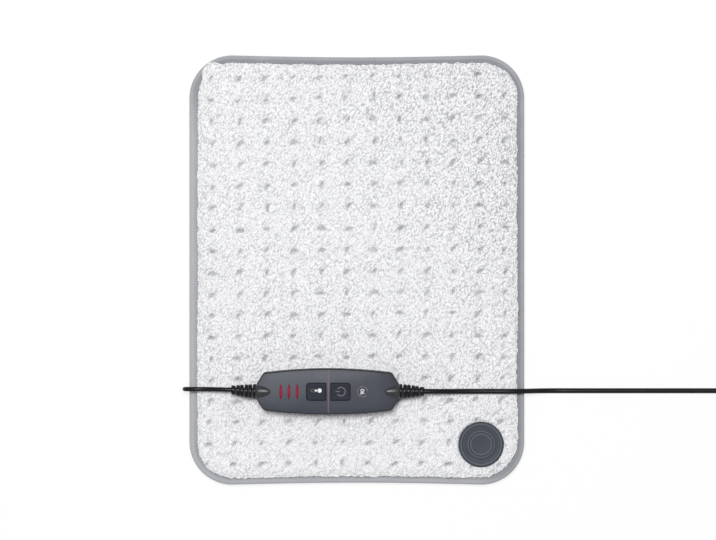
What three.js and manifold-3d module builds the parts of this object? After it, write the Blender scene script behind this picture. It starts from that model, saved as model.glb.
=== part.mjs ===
// Heating pad with a hand controller: a quilted pad with a bound edge, the lead entry under a round cap,
// the controller with two keys, and its mains lead, coiled and ending in a flat two-pin plug.
// Millimetres, +Z up, +Y along the pad. The origin is the middle of the pad on the surface that it lies on.
import * as THREE from "three";
import { mergeVertices } from "three/addons/utils/BufferGeometryUtils.js";
import Module from "manifold-3d";

// Fits
const clearance = 0.3; // between pieces that touch
const overrun = 2; // how far a cut runs past what it cuts
const bothSides = [-1, 1];

// Pad, flat
const padWidth = 312;
const padLength = 400;
const padCornerRadius = 40;
const endDip = 1.8; // how far the short sides are drawn in at their middle
const bindingWidth = 7.5;
const bindingWall = 0.8;
const flangeThickness = 1.15; // of each cover's edge inside the binding
const flangeMargin = 1.7; // from the pad's outer edge to the covers' raw edges
const seamHeight = 7.4; // of the gap between the two covers' edges

// Pad, layers from below
const backClothThickness = 1.2;
const rearPaddingThickness = 5.5;
const carrierThickness = 0.4;
const heatingWireDiameter = 1.4;
const frontCoverThickness = 4.2;
const topSlope = 15; // from the binding to where the front is level
const undersideSlope = 22; // from the binding to where the back lies on its support
const carrierMargin = 22; // from the pad's outer edge to the wire carrier

// Tufts sewn into the front
const tuftColumns = 12;
const tuftRows = 19;
const tuftMarginAcross = 5.04; // from the pad's long sides to the first row's cells
const tuftMarginAlong = 9.24;
const tuftPitchAcross = (padWidth - 2 * tuftMarginAcross) / tuftColumns;
const tuftPitchAlong = (padLength - 2 * tuftMarginAlong) / tuftRows;
const tuftDepth = 2;

// Heating wire
const wireRuns = 10;
const wireRunMargin = 44; // from the pad's long sides to the ends of the runs
const wireReturnMargin = 28; // from the pad's right side to the wire's way back
const wireEndMargin = 34.5; // from the pad's short sides to the first and last run
const wireHalfSpan = padWidth / 2 - wireRunMargin;
const wireReturnX = padWidth / 2 - wireReturnMargin;
const wireFirstY = wireEndMargin - padLength / 2;
const wireLastY = padLength / 2 - wireEndMargin;
const cutoutLength = 13;
const cutoutWidth = 5;
const cutoutHeight = 3;

// Lead entry under the round cap
const entryFromSide = 40.5;
const entryFromEnd = 37.9;
const entryX = padWidth / 2 - entryFromSide;
const entryY = entryFromEnd - padLength / 2;
const capRadius = 21.1;
const capRimHeight = 2.9; // above the level front
const capSunk = 1.2; // below the level front
const capRimWidth = 2.6;
const capStep = 0.5; // from the rim down to the face
const capGrooveDepth = 0.4;
const capGrooveRadius = 10.5;
const capGrooveWidth = 1.6;
const entryFlangeThickness = 2;
const entryNeckRadius = 14;
const entryWall = 1.5;
const entryScrewRadius = 1.1;
const entryScrewHeadRadius = 2;
const entryScrewHeadHeight = 1.2;
const entryScrewOffset = 9.4;
const entryBossWall = 1;
const entryBossDepth = 3.3; // of the cap's screw bosses, below its underside
const entrySpoutWidth = 11;
const entrySpoutHeight = 5.5;
const entryReliefLength = 26;
const entryReliefWidth = 9;
const entryReliefTipWidth = 6.2;
const entryBlockWidth = 10;
const entryBlockDepth = 8;
const entryBlockHeight = 6;

// Keys
const keyLength = 17.8;
const keyWidth = 15.8;
const keyBridge = 4.6;
const keyCornerRadius = 3;
const keyProud = 0.6;
const keyFlange = 1.2;
const keyFlangeThickness = 1.4;
const keyStemRadius = 2;
const keyTravel = 0.7;

// Indicator bars
const indicatorCount = 3;
const indicatorPitch = 7.5;
const indicatorFromEnd = 22.8; // from the controller's left end to the first bar
const indicatorToKey = 8.8; // from the last bar to the temperature key
const indicatorLength = 13;
const indicatorWidth = 2.2;
const indicatorFlange = 1.2;
const indicatorFlangeThickness = 1.2;
const lampRadius = 1.5;
const lampBaseWidth = 3.6;
const lampBaseHeight = 1.5;
const lampGap = 0.6; // from a lamp's tip to its window

// Controller, as long as the row of bars and keys asks
const controlFromEnd = 87.5; // from the pad's lower end to the controller's middle
const controlX = -27;
const controlY = controlFromEnd - padLength / 2;
const bridgeFromMiddle = 0.7; // of the narrow bar between the two keys
const bridgeX = controlX + bridgeFromMiddle;
const barSpan = indicatorFromEnd + (indicatorCount - 1) * indicatorPitch + indicatorToKey;
const controlHalfLength = barSpan + keyLength + keyBridge / 2 - bridgeFromMiddle;
const indicatorFirstX = controlX - controlHalfLength + indicatorFromEnd;
const controlHalfWidth = 21.4;
const controlCornerInset = 6.8; // from an end to the corner between its slant and a long side
const controlCornerHalfWidth = 18;
const controlEndHalfWidth = 6.9;
const controlCornerRun = 3; // of each side taken up by a rounded corner
const controlThickness = 20;
const controlParting = 9.5; // height of the parting line above the controller's underside
const controlWall = 2;
const controlTopRound = 5;
const controlSlopeLength = 16; // of the sloping part of the cover's face at each end
const controlEndFall = 3; // how far that slope falls
const controlBottomRound = 2;

// Circuit board and what stands on it
const boardThickness = 1.6;
const boardLift = 3; // from the floor of the lower housing to the board
const boardFromEnd = 7.5; // from the controller's ends to the board's
const boardHalfLength = controlHalfLength - boardFromEnd;
const switchWidth = 6;
const switchBodyHeight = 4.3;
const switchPlungerRadius = 1.75;
const screwFromEnd = 27;
const screwFromSide = 9.4;
const screwX = controlHalfLength - screwFromEnd;
const screwY = controlHalfWidth - screwFromSide;
const screwRadius = 1.2;
const screwHeadRadius = 2.4;
const screwHeadHeight = 1.8;
const bossRadius = 3.6;
const blockLength = 7;
const blockWidth = 12;
const blockHeight = 8.5;
const blockFromEnd = 12; // from the controller's ends to the terminal blocks' middles
const blockCentre = controlHalfLength - blockFromEnd;

const chip = { width: 10, depth: 6, height: 2, fromMiddleX: 20, fromMiddleY: 11.6 };
const triac = { width: 10, depth: 4.4, height: 8.6, fromMiddleX: 31, fromMiddleY: 4 };
const capacitor = { width: 13, depth: 6, height: 9, fromMiddleX: 31, fromMiddleY: -4.4 };
const fuse = { length: 20, radius: 2.5, fromMiddleX: -13, fromMiddleY: -12.4 };

// Leads
const padLeadDiameter = 4.2;
const mainsLeadDiameter = 4.8;
const reliefLength = 23;
const reliefRootRadius = 7;
const reliefTipWall = 1.6;
const reliefRibs = 6;
const reliefTaper = 1.6; // above 1 the ribs narrow mostly towards the tip
const reliefGrooveShare = 0.8; // of a rib's radius
const ribShare = 0.6; // of the ribs' pitch
const reliefNeckRadius = 4.6;
const reliefCollarRadius = 5.5;
const reliefCollarLength = 2.4;
const leadEndLength = 3.2; // of lead between a relief's collar and the terminal block

// Mains lead's coil, tie and plug
const coilX = 386;
const coilTurnsPerLayer = 4;
const coilOuterRadius = 34.2; // of the outermost turn's middle
const coilGap = 0.55; // between neighbouring turns
const coilClimbDip = 1.5; // how far the climbing half turn bows inwards
const coilStepsPerTurn = 24;
const coilSides = 6;
const tieWidth = 10;
const tieThickness = 0.8;
const tailLength = 42;
const plugWidth = 35.3;
const plugThickness = 13.7;
const plugLength = 33;
const plugWaistShare = 0.5;
const pinRadius = 2;
const pinLength = 19;
const pinSpacing = 18.6;
const pinSeat = 3; // how far a pin's root is let into the plug's face
const plugReliefLength = 20;
const plugReliefRadius = 5.2;
const plugReliefRibs = 4;

// Levels of the pad's layers
const rearPaddingBottom = backClothThickness + clearance;
const rearPaddingTop = rearPaddingBottom + rearPaddingThickness;
const carrierBottom = rearPaddingTop + clearance;
const carrierTop = carrierBottom + carrierThickness;
const wireZ = carrierTop + clearance + heatingWireDiameter / 2;
const frontCoverBottom = wireZ + heatingWireDiameter / 2 + clearance;
const padTop = frontCoverBottom + frontCoverThickness;
const capUnderside = padTop - capSunk;
const capTop = padTop + capRimHeight;
const slotHalf = flangeThickness + 1.5 * clearance; // half the room inside the binding
const bindingHalf = slotHalf + bindingWall;

// Levels of the controller
const controlBottom = padTop + clearance;
const partingZ = controlBottom + controlParting;
const controlTop = controlBottom + controlThickness;
const controlFloor = controlBottom + controlWall;
const controlRoof = controlTop - controlWall;
const boardBottom = controlFloor + boardLift;
const boardTop = boardBottom + boardThickness;
const keyTop = controlTop + keyProud;
const keyUnderside = controlRoof - clearance - keyFlangeThickness;
const stemBottom = boardTop + clearance + switchBodyHeight + keyTravel + 2 * clearance;

// Routes of the leads, in world places. The pad lead runs from the controller round the pad's left edge,
// then lies in a sleeve under the pad on its way to the entry.
const padLeadLoopRoute = [
  [-116.6, -112.5, 23.7],
  [-121, -112.4, 23.6],
  [-128, -111.8, 22.6],
  [-136, -111.2, 20.4],
  [-144, -111, 19.1],
  [-152, -111, 18.9],
  [-157.9, -111, 16.5],
  [-160.3, -111, 10.6],
  [-157.9, -111, 4.7],
  [-152, -111, 2.3],
  [-146, -111, 2.3],
];
const padLeadHiddenRoute = [
  [-145.7, -111, 2.3],
  [-125, -111, 2.3],
  [-90, -111, 2.3],
  [-45, -111, 2.3],
  [-4.5, -111, 2.3],
  [15.5, -105.6, 2.3],
  [30.1, -91, 2.3],
  [35.5, -71, 2.3],
  [35.5, -48, 2.3],
  [35.5, -25, 2.3],
  [40.9, -5, 2.3],
  [55.5, 9.6, 2.3],
  [75.5, 15, 2.3],
  [95.5, 9.6, 2.3],
  [110.1, -5, 2.3],
  [115.5, -25, 2.3],
  [115.5, -50, 2.3],
  [115.5, -80, 2.3],
  [115.5, -100, 2.3],
  [115.5, -114.2, 2.3],
];
const mainsLeadRoute = [
  [62.6, -112.5, 23.7],
  [68, -112.5, 23.5],
  [78, -112.6, 22],
  [92, -112.7, 18.4],
  [106, -112.7, 16.8],
  [126, -112.7, 16.6],
  [146, -112.7, 16.6],
  [154.5, -112.7, 14.9],
  [163, -112.7, 9.7],
  [171.5, -112.7, 4.5],
  [180, -112.7, 2.7],
  [200, -112.7, 2.7],
  [240, -112.7, 2.7],
  [290, -112.7, 2.7],
  [330, -112.7, 3],
  [355, -112.7, 3.6],
  [380.9, -112.7, 3.8],
];

const wasm = await Module();
wasm.setup();

const materials = {
  terry: finish(0xececea, 0.95),
  wadding: finish(0xf4f2ec, 0.95),
  carrierCloth: finish(0xe4e0d4, 0.9),
  wireJacket: finish(0xd8b48a, 0.6),
  binding: finish(0xb4b5b8, 0.85),
  backCloth: finish(0xe8e8e6, 0.9),
  darkPlastic: finish(0x55585d, 0.5),
  keyPlastic: finish(0x3a3d47, 0.45),
  lamp: finish(0xb01418, 0.3),
  lead: finish(0x17181a, 0.5),
  circuitBoard: finish(0x2c5a38, 0.6),
  chip: finish(0x202022, 0.5),
  filmBlock: finish(0x9a3b2a, 0.5),
  terminal: finish(0xd9d6c8, 0.5),
  steel: finish(0x9fa3a8, 0.35, 0.9),
  glass: finish(0xc9d6d8, 0.15),
  tie: finish(0x222326, 0.8),
};

function finish(color, roughness, metalness = 0) {
  return new THREE.MeshStandardMaterial({ color, roughness, metalness });
}

const group = new THREE.Group();

function add(name, shape, material) {
  const geometry = shape.isBufferGeometry ? shape : geometryOf(shape);
  const mesh = new THREE.Mesh(geometry, material);
  mesh.name = name;
  group.add(mesh);
  return mesh;
}

// Turns a closed geometry into a solid for joining and cutting.
function solid(geometry) {
  const bare = geometry.clone();
  bare.deleteAttribute("normal");
  bare.deleteAttribute("uv");
  const merged = mergeVertices(bare);
  return new wasm.Manifold(
    new wasm.Mesh({
      numProp: 3,
      vertProperties: merged.attributes.position.array,
      triVerts: new Uint32Array(merged.index.array),
    }),
  );
}

function geometryOf(body) {
  const mesh = body.getMesh();
  return new THREE.BufferGeometry()
    .setAttribute("position", new THREE.BufferAttribute(mesh.vertProperties, 3))
    .setIndex(new THREE.BufferAttribute(mesh.triVerts, 1));
}

function join(...geometries) {
  return geometries.map(solid).reduce((all, next) => all.add(next));
}

function cut(body, ...geometries) {
  return geometries.map(solid).reduce((left, next) => left.subtract(next), body);
}

// A closed body through rings of points that have the same count. Open bodies get a cap at each end.
function loft(rings, closed = false) {
  const count = rings[0].length;
  const points = rings.flat();
  const faces = [];
  const spans = closed ? rings.length : rings.length - 1;
  for (let k = 0; k < spans; k += 1) {
    const low = k * count;
    const high = ((k + 1) % rings.length) * count;
    for (let i = 0; i < count; i += 1) {
      const j = (i + 1) % count;
      faces.push(low + i, low + j, high + j);
      faces.push(low + i, high + j, high + i);
    }
  }
  if (!closed) {
    addCap(points, faces, rings[0], 0, true);
    addCap(points, faces, rings.at(-1), (rings.length - 1) * count, false);
  }
  return new THREE.BufferGeometry().setFromPoints(points).setIndex(faces);
}

function addCap(points, faces, ring, first, reversed) {
  const middle = new THREE.Vector3();
  ring.forEach((p) => middle.addScaledVector(p, 1 / ring.length));
  points.push(middle);
  const tip = points.length - 1;
  for (let i = 0; i < ring.length; i += 1) {
    const j = (i + 1) % ring.length;
    if (reversed) faces.push(tip, first + j, first + i);
    else faces.push(tip, first + i, first + j);
  }
}

// A ring of the given outline at one height.
function level(outline, z) {
  return outline.map((p) => new THREE.Vector3(p.x, p.y, z));
}

function box(width, depth, height, x, y, bottom) {
  return new THREE.BoxGeometry(width, depth, height).translate(x, y, bottom + height / 2);
}

function post(radius, bottom, top, x, y, sides = 16) {
  return new THREE.CylinderGeometry(radius, radius, top - bottom, sides)
    .rotateX(Math.PI / 2)
    .translate(x, y, (bottom + top) / 2);
}

function prism(shape, bottom, top) {
  return new THREE.ExtrudeGeometry(shape, {
    depth: top - bottom,
    bevelEnabled: false,
    curveSegments: 6,
  }).translate(0, 0, bottom);
}

// A body turned about the Y axis from a list of radius and place along the axis.
function turned(profile, sides) {
  const points = profile.map(([radius, along]) => new THREE.Vector2(radius, along));
  return new THREE.LatheGeometry(points, sides);
}

// A round section swept along a curve.
function tube(curve, diameter, steps, sides) {
  const section = new THREE.Shape();
  for (let i = 0; i < sides; i += 1) {
    const angle = (2 * Math.PI * i) / sides;
    const x = (Math.cos(angle) * diameter) / 2;
    const y = (Math.sin(angle) * diameter) / 2;
    if (i === 0) section.moveTo(x, y);
    else section.lineTo(x, y);
  }
  section.closePath();
  return new THREE.ExtrudeGeometry(section, { steps, extrudePath: curve, bevelEnabled: false });
}

function curveThrough(route) {
  const points = route.map((p) => new THREE.Vector3(...p));
  return new THREE.CatmullRomCurve3(points, false, "centripetal");
}

// A round wire through points that lie in flat layers: each ring stands square to the wire.
function wireThrough(points, diameter, sides) {
  const rings = points.map((point, k) => {
    const before = points[Math.max(k - 1, 0)];
    const after = points[Math.min(k + 1, points.length - 1)];
    const along = after.clone().sub(before).normalize();
    const across = new THREE.Vector3(along.y, -along.x, 0).normalize();
    const upward = along.clone().cross(across);
    return Array.from({ length: sides }, (_, i) => {
      const angle = (2 * Math.PI * (i + 0.5)) / sides;
      return point
        .clone()
        .addScaledVector(across, (Math.cos(angle) * diameter) / 2)
        .addScaledVector(upward, (Math.sin(angle) * diameter) / 2);
    });
  });
  return loft(rings);
}

// An arch standing on the support, swept along a level route.
function archAlong(route, halfWidth, height, steps) {
  const curve = curveThrough(route);
  const shares = [
    [-1, 0],
    [-0.9, 0.75],
    [-0.45, 1],
    [0.45, 1],
    [0.9, 0.75],
    [1, 0],
  ];
  const rings = curve.getSpacedPoints(steps).map((point, k) => {
    const along = curve.getTangentAt(k / steps);
    const across = new THREE.Vector3(along.y, -along.x, 0).normalize();
    return shares.map(([side, up]) => {
      const place = point.clone().addScaledVector(across, side * halfWidth);
      return place.setZ(up === 0 ? -overrun : up * height);
    });
  });
  return loft(rings);
}

// The pad's outline, drawn in by an inset. Short sides dip towards their middle.
function padOutline(inset) {
  const halfWidth = padWidth / 2 - inset;
  const halfLength = padLength / 2 - inset;
  const radius = Math.max(padCornerRadius - inset, padCornerRadius / 4);
  const cornerSteps = 6;
  const endSteps = 4;
  const outline = [];
  const corners = [
    [1, 1, 0],
    [-1, 1, 1],
    [-1, -1, 2],
    [1, -1, 3],
  ];
  for (const [sideX, sideY, quarter] of corners) {
    const centreX = sideX * (halfWidth - radius);
    const centreY = sideY * (halfLength - radius);
    for (let i = 0; i <= cornerSteps; i += 1) {
      const angle = (Math.PI / 2) * (quarter + i / cornerSteps);
      const x = centreX + radius * Math.cos(angle);
      const y = centreY + radius * Math.sin(angle);
      outline.push(new THREE.Vector2(x, y));
    }
    if (quarter % 2 === 0) {
      for (let i = 1; i < endSteps; i += 1) {
        const share = i / endSteps;
        const x = centreX * (1 - 2 * share);
        const dip = endDip * Math.sin(Math.PI * share);
        outline.push(new THREE.Vector2(x, sideY * (halfLength - dip)));
      }
    }
  }
  return outline;
}

// A body through the pad's outline at several insets and heights.
function padLoft(profile, closed = false) {
  return loft(profile.map(([inset, z]) => level(padOutline(inset), z)), closed);
}

// The underside's rise to the binding: shares of the slope's width and of the seam's height.
const undersideShares = [
  [1, 0],
  [0.6, 0.11],
  [0.3, 0.33],
  [0.08, 0.64],
];
const backFlangeBottom = seamHeight - clearance / 2 - flangeThickness;
const backFlangeTop = seamHeight - clearance / 2;
const frontFlangeBottom = seamHeight + clearance / 2;
const frontFlangeTop = frontFlangeBottom + flangeThickness;

function undersideProfile(shift) {
  return undersideShares.map(([width, height]) => [
    bindingWidth + width * undersideSlope + shift,
    height * seamHeight + shift,
  ]);
}

function edgeBinding() {
  const outer = bindingHalf;
  const inner = slotHalf;
  const bottom = bindingWall + clearance;
  const profile = [
    [bindingWidth, seamHeight + inner],
    [bindingWidth, seamHeight + outer],
    [outer, seamHeight + outer],
    [outer / 4, seamHeight + outer / 2],
    [0, seamHeight],
    [outer / 4, seamHeight - outer / 2],
    [outer, seamHeight - outer],
    [bindingWidth, seamHeight - outer],
    [bindingWidth, seamHeight - inner],
    [bottom, seamHeight - inner],
    [bottom, seamHeight + inner],
  ];
  return padLoft(profile.reverse(), true);
}

// The front's outside, from the binding up to above its level part.
function frontCover() {
  const slope = [
    [0.08, 0.36],
    [0.3, 0.7],
    [0.6, 0.92],
    [1, 1.02],
    [1.3, 1.3],
  ];
  const rise = padTop - frontFlangeTop;
  const emerge = bindingWidth + clearance;
  const profile = [
    [emerge + topSlope * 0.9, frontCoverBottom],
    [emerge + clearance, frontFlangeBottom],
    [flangeMargin, frontFlangeBottom],
    [flangeMargin, frontFlangeTop],
    [emerge, frontFlangeTop],
    ...slope.map(([width, height]) => [emerge + width * topSlope, frontFlangeTop + height * rise]),
  ];
  const puffed = solid(padLoft(profile));
  const quilted = puffed.intersect(solid(tuftedBlock()));
  const pocketRadius = cutoutLength / 2 + clearance;
  let body = quilted;
  for (const [x, y] of cutoutPlaces()) {
    const pocket = box(
      2 * pocketRadius,
      cutoutWidth + 2 * clearance,
      cutoutHeight + 2 * clearance,
      x,
      y,
      carrierTop,
    );
    body = cut(body, pocket);
  }
  return cut(
    body,
    post(entryNeckRadius + clearance, 0, padTop + overrun, entryX, entryY, 32),
    post(capRadius + clearance, capUnderside - clearance, padTop + overrun, entryX, entryY, 32),
  );
}

// A block whose top is level but for a pit at each tuft; it reaches past the pad on every side.
function tuftedBlock() {
  const points = [];
  const faces = [];
  const cornerAt = (i, j) => i * (tuftRows + 1) + j;
  for (let i = 0; i <= tuftColumns; i += 1) {
    for (let j = 0; j <= tuftRows; j += 1) {
      const reachX = i === 0 || i === tuftColumns ? Math.sign(i - 1) * bindingWidth : 0;
      const reachY = j === 0 || j === tuftRows ? Math.sign(j - 1) * 2 * bindingWidth : 0;
      const x = (i - tuftColumns / 2) * tuftPitchAcross + reachX;
      const y = (j - tuftRows / 2) * tuftPitchAlong + reachY;
      points.push(new THREE.Vector3(x, y, padTop));
    }
  }
  for (let i = 0; i < tuftColumns; i += 1) {
    for (let j = 0; j < tuftRows; j += 1) {
      const [x, y] = tuftPlace(i, j);
      const pit = points.length;
      points.push(new THREE.Vector3(x, y, padTop - tuftDepth));
      const ring = [cornerAt(i, j), cornerAt(i + 1, j), cornerAt(i + 1, j + 1), cornerAt(i, j + 1)];
      ring.forEach((corner, k) => faces.push(pit, corner, ring[(k + 1) % ring.length]));
    }
  }
  const rim = [];
  for (let i = 0; i < tuftColumns; i += 1) rim.push(cornerAt(i, 0));
  for (let j = 0; j < tuftRows; j += 1) rim.push(cornerAt(tuftColumns, j));
  for (let i = tuftColumns; i > 0; i -= 1) rim.push(cornerAt(i, tuftRows));
  for (let j = tuftRows; j > 0; j -= 1) rim.push(cornerAt(0, j));
  const base = points.length;
  rim.forEach((k) => points.push(points[k].clone().setZ(-overrun)));
  points.push(new THREE.Vector3(0, 0, -overrun));
  const middle = points.length - 1;
  rim.forEach((k, n) => {
    const next = (n + 1) % rim.length;
    faces.push(base + n, base + next, rim[next]);
    faces.push(base + n, rim[next], k);
    faces.push(middle, base + next, base + n);
  });
  return new THREE.BufferGeometry().setFromPoints(points).setIndex(faces);
}

function tuftPlace(column, row) {
  return [
    (column + 0.5 - tuftColumns / 2) * tuftPitchAcross,
    (row + 0.5 - tuftRows / 2) * tuftPitchAlong,
  ];
}

// The sleeve under the pad that takes the pad lead, and the wider one for the entry's spout and relief.
const sleeveHalf = padLeadDiameter / 2 + clearance;
const sleeveHeight = padLeadHiddenRoute[0][2] + padLeadDiameter / 2 + clearance;
const sleeveSteps = 38;
const spoutHalf = entrySpoutWidth / 2 + clearance;
const spoutEnd = entryY + capRadius + clearance + entryReliefLength + clearance;

function leadSleeve(growth) {
  return archAlong(padLeadHiddenRoute, sleeveHalf + growth, sleeveHeight + growth, sleeveSteps);
}

function spoutSleeve(growth) {
  const width = 2 * (spoutHalf + growth);
  const length = spoutEnd - entryY + growth;
  const height = entrySpoutHeight + clearance + growth + overrun;
  return box(width, length, height, entryX, entryY + length / 2, -overrun);
}

function entryRecess(growth) {
  const top = entryFlangeThickness + clearance + growth;
  return post(capRadius + clearance + growth, -overrun, top, entryX, entryY, 32);
}

// The mouth of the sleeve, where the lead comes in under the binding's inner edge.
function sleeveMouth() {
  const length = undersideSlope;
  const x = padLeadHiddenRoute[0][0] - length / 2;
  const height = sleeveHeight + overrun;
  return box(length + overrun, 2 * sleeveHalf, height, x, padLeadHiddenRoute[0][1], -overrun);
}

function backCover() {
  const cloth = backClothThickness;
  const outside = undersideProfile(0);
  const inside = outside.map(([inset, z]) => [inset + cloth / 2, z + cloth]).reverse();
  const edge = bindingWidth + clearance;
  const profile = [
    ...outside,
    [edge, backFlangeBottom],
    [flangeMargin, backFlangeBottom],
    [flangeMargin, backFlangeTop],
    [edge + clearance, backFlangeTop],
    ...inside,
  ];
  const envelope = solid(padLoft([...outside, [edge, backFlangeBottom], [edge + clearance, padTop]]));
  const sleeves = join(leadSleeve(cloth), spoutSleeve(cloth), entryRecess(cloth)).intersect(envelope);
  const shell = solid(padLoft(profile)).add(sleeves);
  return cut(
    shell,
    leadSleeve(0),
    spoutSleeve(0),
    entryRecess(0),
    sleeveMouth(),
    post(entryNeckRadius + clearance, 0, padTop, entryX, entryY, 32),
  );
}

function rearPadding() {
  const gap = backClothThickness + clearance;
  const lift = undersideProfile(0).map(([inset, z]) => [inset + gap, z + gap]);
  const top = [lift.at(-1)[0] + clearance, rearPaddingTop];
  const body = solid(padLoft([...lift, top]));
  return cut(
    body,
    leadSleeve(gap),
    spoutSleeve(gap),
    entryRecess(gap),
    post(entryNeckRadius + clearance, 0, padTop, entryX, entryY, 32),
  );
}

function wireCarrier() {
  const outline = padOutline(carrierMargin);
  const sheet = solid(loft([level(outline, carrierBottom), level(outline, carrierTop)]));
  return cut(sheet, post(entryNeckRadius + clearance, 0, padTop, entryX, entryY, 32));
}

// The wire leaves the entry to the left, goes up in runs and comes back down the right side.
function heatingWire() {
  const pitch = (wireLastY - wireFirstY) / (wireRuns - 1);
  const bend = pitch / 2;
  const turnSteps = 5;
  const points = [];
  const place = (x, y) => points.push(new THREE.Vector3(x, y, wireZ));
  place(entryX - entryNeckRadius - 2 * clearance, wireFirstY);
  for (let run = 0; run < wireRuns - 1; run += 1) {
    const side = run % 2 === 0 ? -1 : 1;
    const y = wireFirstY + run * pitch;
    for (let i = 0; i <= turnSteps; i += 1) {
      const angle = (Math.PI * i) / turnSteps;
      place(side * (wireHalfSpan - bend + bend * Math.sin(angle)), y + bend - bend * Math.cos(angle));
    }
  }
  const corner = wireReturnX - wireHalfSpan;
  const cornerSteps = 3;
  for (let i = 0; i <= cornerSteps; i += 1) {
    const angle = ((Math.PI / 2) * i) / cornerSteps;
    place(wireHalfSpan + corner * Math.sin(angle), wireLastY - corner + corner * Math.cos(angle));
  }
  place(wireReturnX, entryY + entryNeckRadius);
  const reach = entryNeckRadius * Math.SQRT1_2 + clearance;
  place(entryX + reach, entryY + reach);
  return wireThrough(points, heatingWireDiameter, 6);
}

// Each temperature cutout lies along a run of the wire.
function cutoutPlaces() {
  const pitch = (wireLastY - wireFirstY) / (wireRuns - 1);
  const beside = heatingWireDiameter / 2 + clearance + cutoutWidth / 2;
  return [
    [-wireHalfSpan / 2, wireFirstY + 3 * pitch + beside],
    [wireHalfSpan / 2, wireFirstY + 6 * pitch + beside],
  ];
}

function addPad() {
  add("front_cover", frontCover(), materials.terry);
  add("edge_binding", edgeBinding(), materials.binding);
  add("back_cover", backCover(), materials.backCloth);
  add("rear_padding", rearPadding(), materials.wadding);
  add("wire_carrier", wireCarrier(), materials.carrierCloth);
  add("heating_wire", heatingWire(), materials.wireJacket);
  cutoutPlaces().forEach(([x, y], i) => {
    const body = box(cutoutLength, cutoutWidth, cutoutHeight, x, y, carrierTop + clearance);
    add(`temperature_cutout_${i + 1}`, body, materials.steel);
  });
}

// The lead entry: a base below, clamped by two screws to the cap above, with the pad's layers between them.

function entryCap() {
  const face = capTop - capStep;
  const inner = capRadius - capRimWidth;
  const groove = capGrooveWidth / 2;
  const profile = [
    [0, capUnderside],
    [capRadius - capRimWidth / 4, capUnderside],
    [capRadius, capUnderside + capSunk],
    [capRadius, capTop - capStep],
    [capRadius - capRimWidth / 4, capTop],
    [inner + capStep, capTop],
    [inner, face],
    [capGrooveRadius + groove + capGrooveDepth, face],
    [capGrooveRadius + groove, face - capGrooveDepth],
    [capGrooveRadius - groove, face - capGrooveDepth],
    [capGrooveRadius - groove - capGrooveDepth, face],
    [0, face],
  ];
  const disc = turned(profile, 32).rotateX(Math.PI / 2).translate(entryX, entryY, 0);
  const outer = entryScrewRadius + clearance + entryBossWall;
  const bossBottom = capUnderside - entryBossDepth;
  let body = solid(disc);
  for (const side of bothSides) {
    const x = entryX + side * entryScrewOffset;
    const reach = capUnderside + entryBossWall;
    body = body.add(solid(post(outer, bossBottom, reach, x, entryY, 12)));
    body = cut(body, post(entryScrewRadius + clearance, bossBottom - overrun, capUnderside, x, entryY, 12));
  }
  return body;
}

function entryBase() {
  const neckTop = capUnderside - clearance;
  const bossTop = capUnderside - entryBossDepth - clearance;
  const room = entryNeckRadius - entryWall;
  const spoutLength = capRadius - room;
  const spoutY = entryY + room + spoutLength / 2;
  let body = join(
    post(capRadius, 0, entryFlangeThickness, entryX, entryY, 32),
    post(entryNeckRadius, 0, neckTop, entryX, entryY, 32),
    box(entrySpoutWidth, spoutLength - clearance, entrySpoutHeight, entryX, spoutY, 0),
  );
  body = cut(body, post(room, entryFlangeThickness, neckTop + overrun, entryX, entryY, 32));
  const leadRadius = padLeadDiameter / 2 + clearance;
  const leadZ = padLeadHiddenRoute[0][2];
  const passage = box(2 * leadRadius, 2 * capRadius, leadZ + leadRadius + overrun, entryX, 0, -overrun);
  passage.translate(0, entryY + entryBlockDepth / 2 + clearance + capRadius, 0);
  for (const side of bothSides) {
    const x = entryX + side * entryScrewOffset;
    const outer = entryScrewRadius + clearance + entryBossWall;
    body = body.add(solid(post(outer, entryFlangeThickness / 2, bossTop, x, entryY, 12)));
    body = cut(
      body,
      post(entryScrewRadius + clearance, -overrun, bossTop + overrun, x, entryY, 12),
      post(entryScrewHeadRadius + clearance, -overrun, entryScrewHeadHeight + clearance, x, entryY, 12),
    );
  }
  return cut(body, passage);
}

function addEntry() {
  add("entry_cap", entryCap(), materials.darkPlastic);
  add("entry_base", entryBase(), materials.darkPlastic);
  bothSides.forEach((side, i) => {
    const x = entryX + side * entryScrewOffset;
    const head = post(entryScrewHeadRadius, clearance, entryScrewHeadHeight, x, entryY, 12);
    const shank = post(entryScrewRadius, clearance, capUnderside - clearance, x, entryY, 12);
    add(`entry_screw_${i + 1}`, join(head, shank), materials.steel);
  });
  const blockBottom = entryFlangeThickness + clearance;
  const block = solid(
    box(entryBlockWidth, entryBlockDepth, entryBlockHeight, entryX, entryY, blockBottom),
  );
  const pocketDepth = entryBlockHeight / 2;
  const pockets = bothSides.map((side) =>
    box(
      entryBlockWidth / 4,
      entryBlockDepth / 2,
      pocketDepth + overrun,
      entryX + (side * entryBlockWidth) / 4,
      entryY,
      blockBottom + entryBlockHeight - pocketDepth,
    ),
  );
  add("entry_terminal_block", cut(block, ...pockets), materials.terminal);
  addEntryRelief();
}

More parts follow.
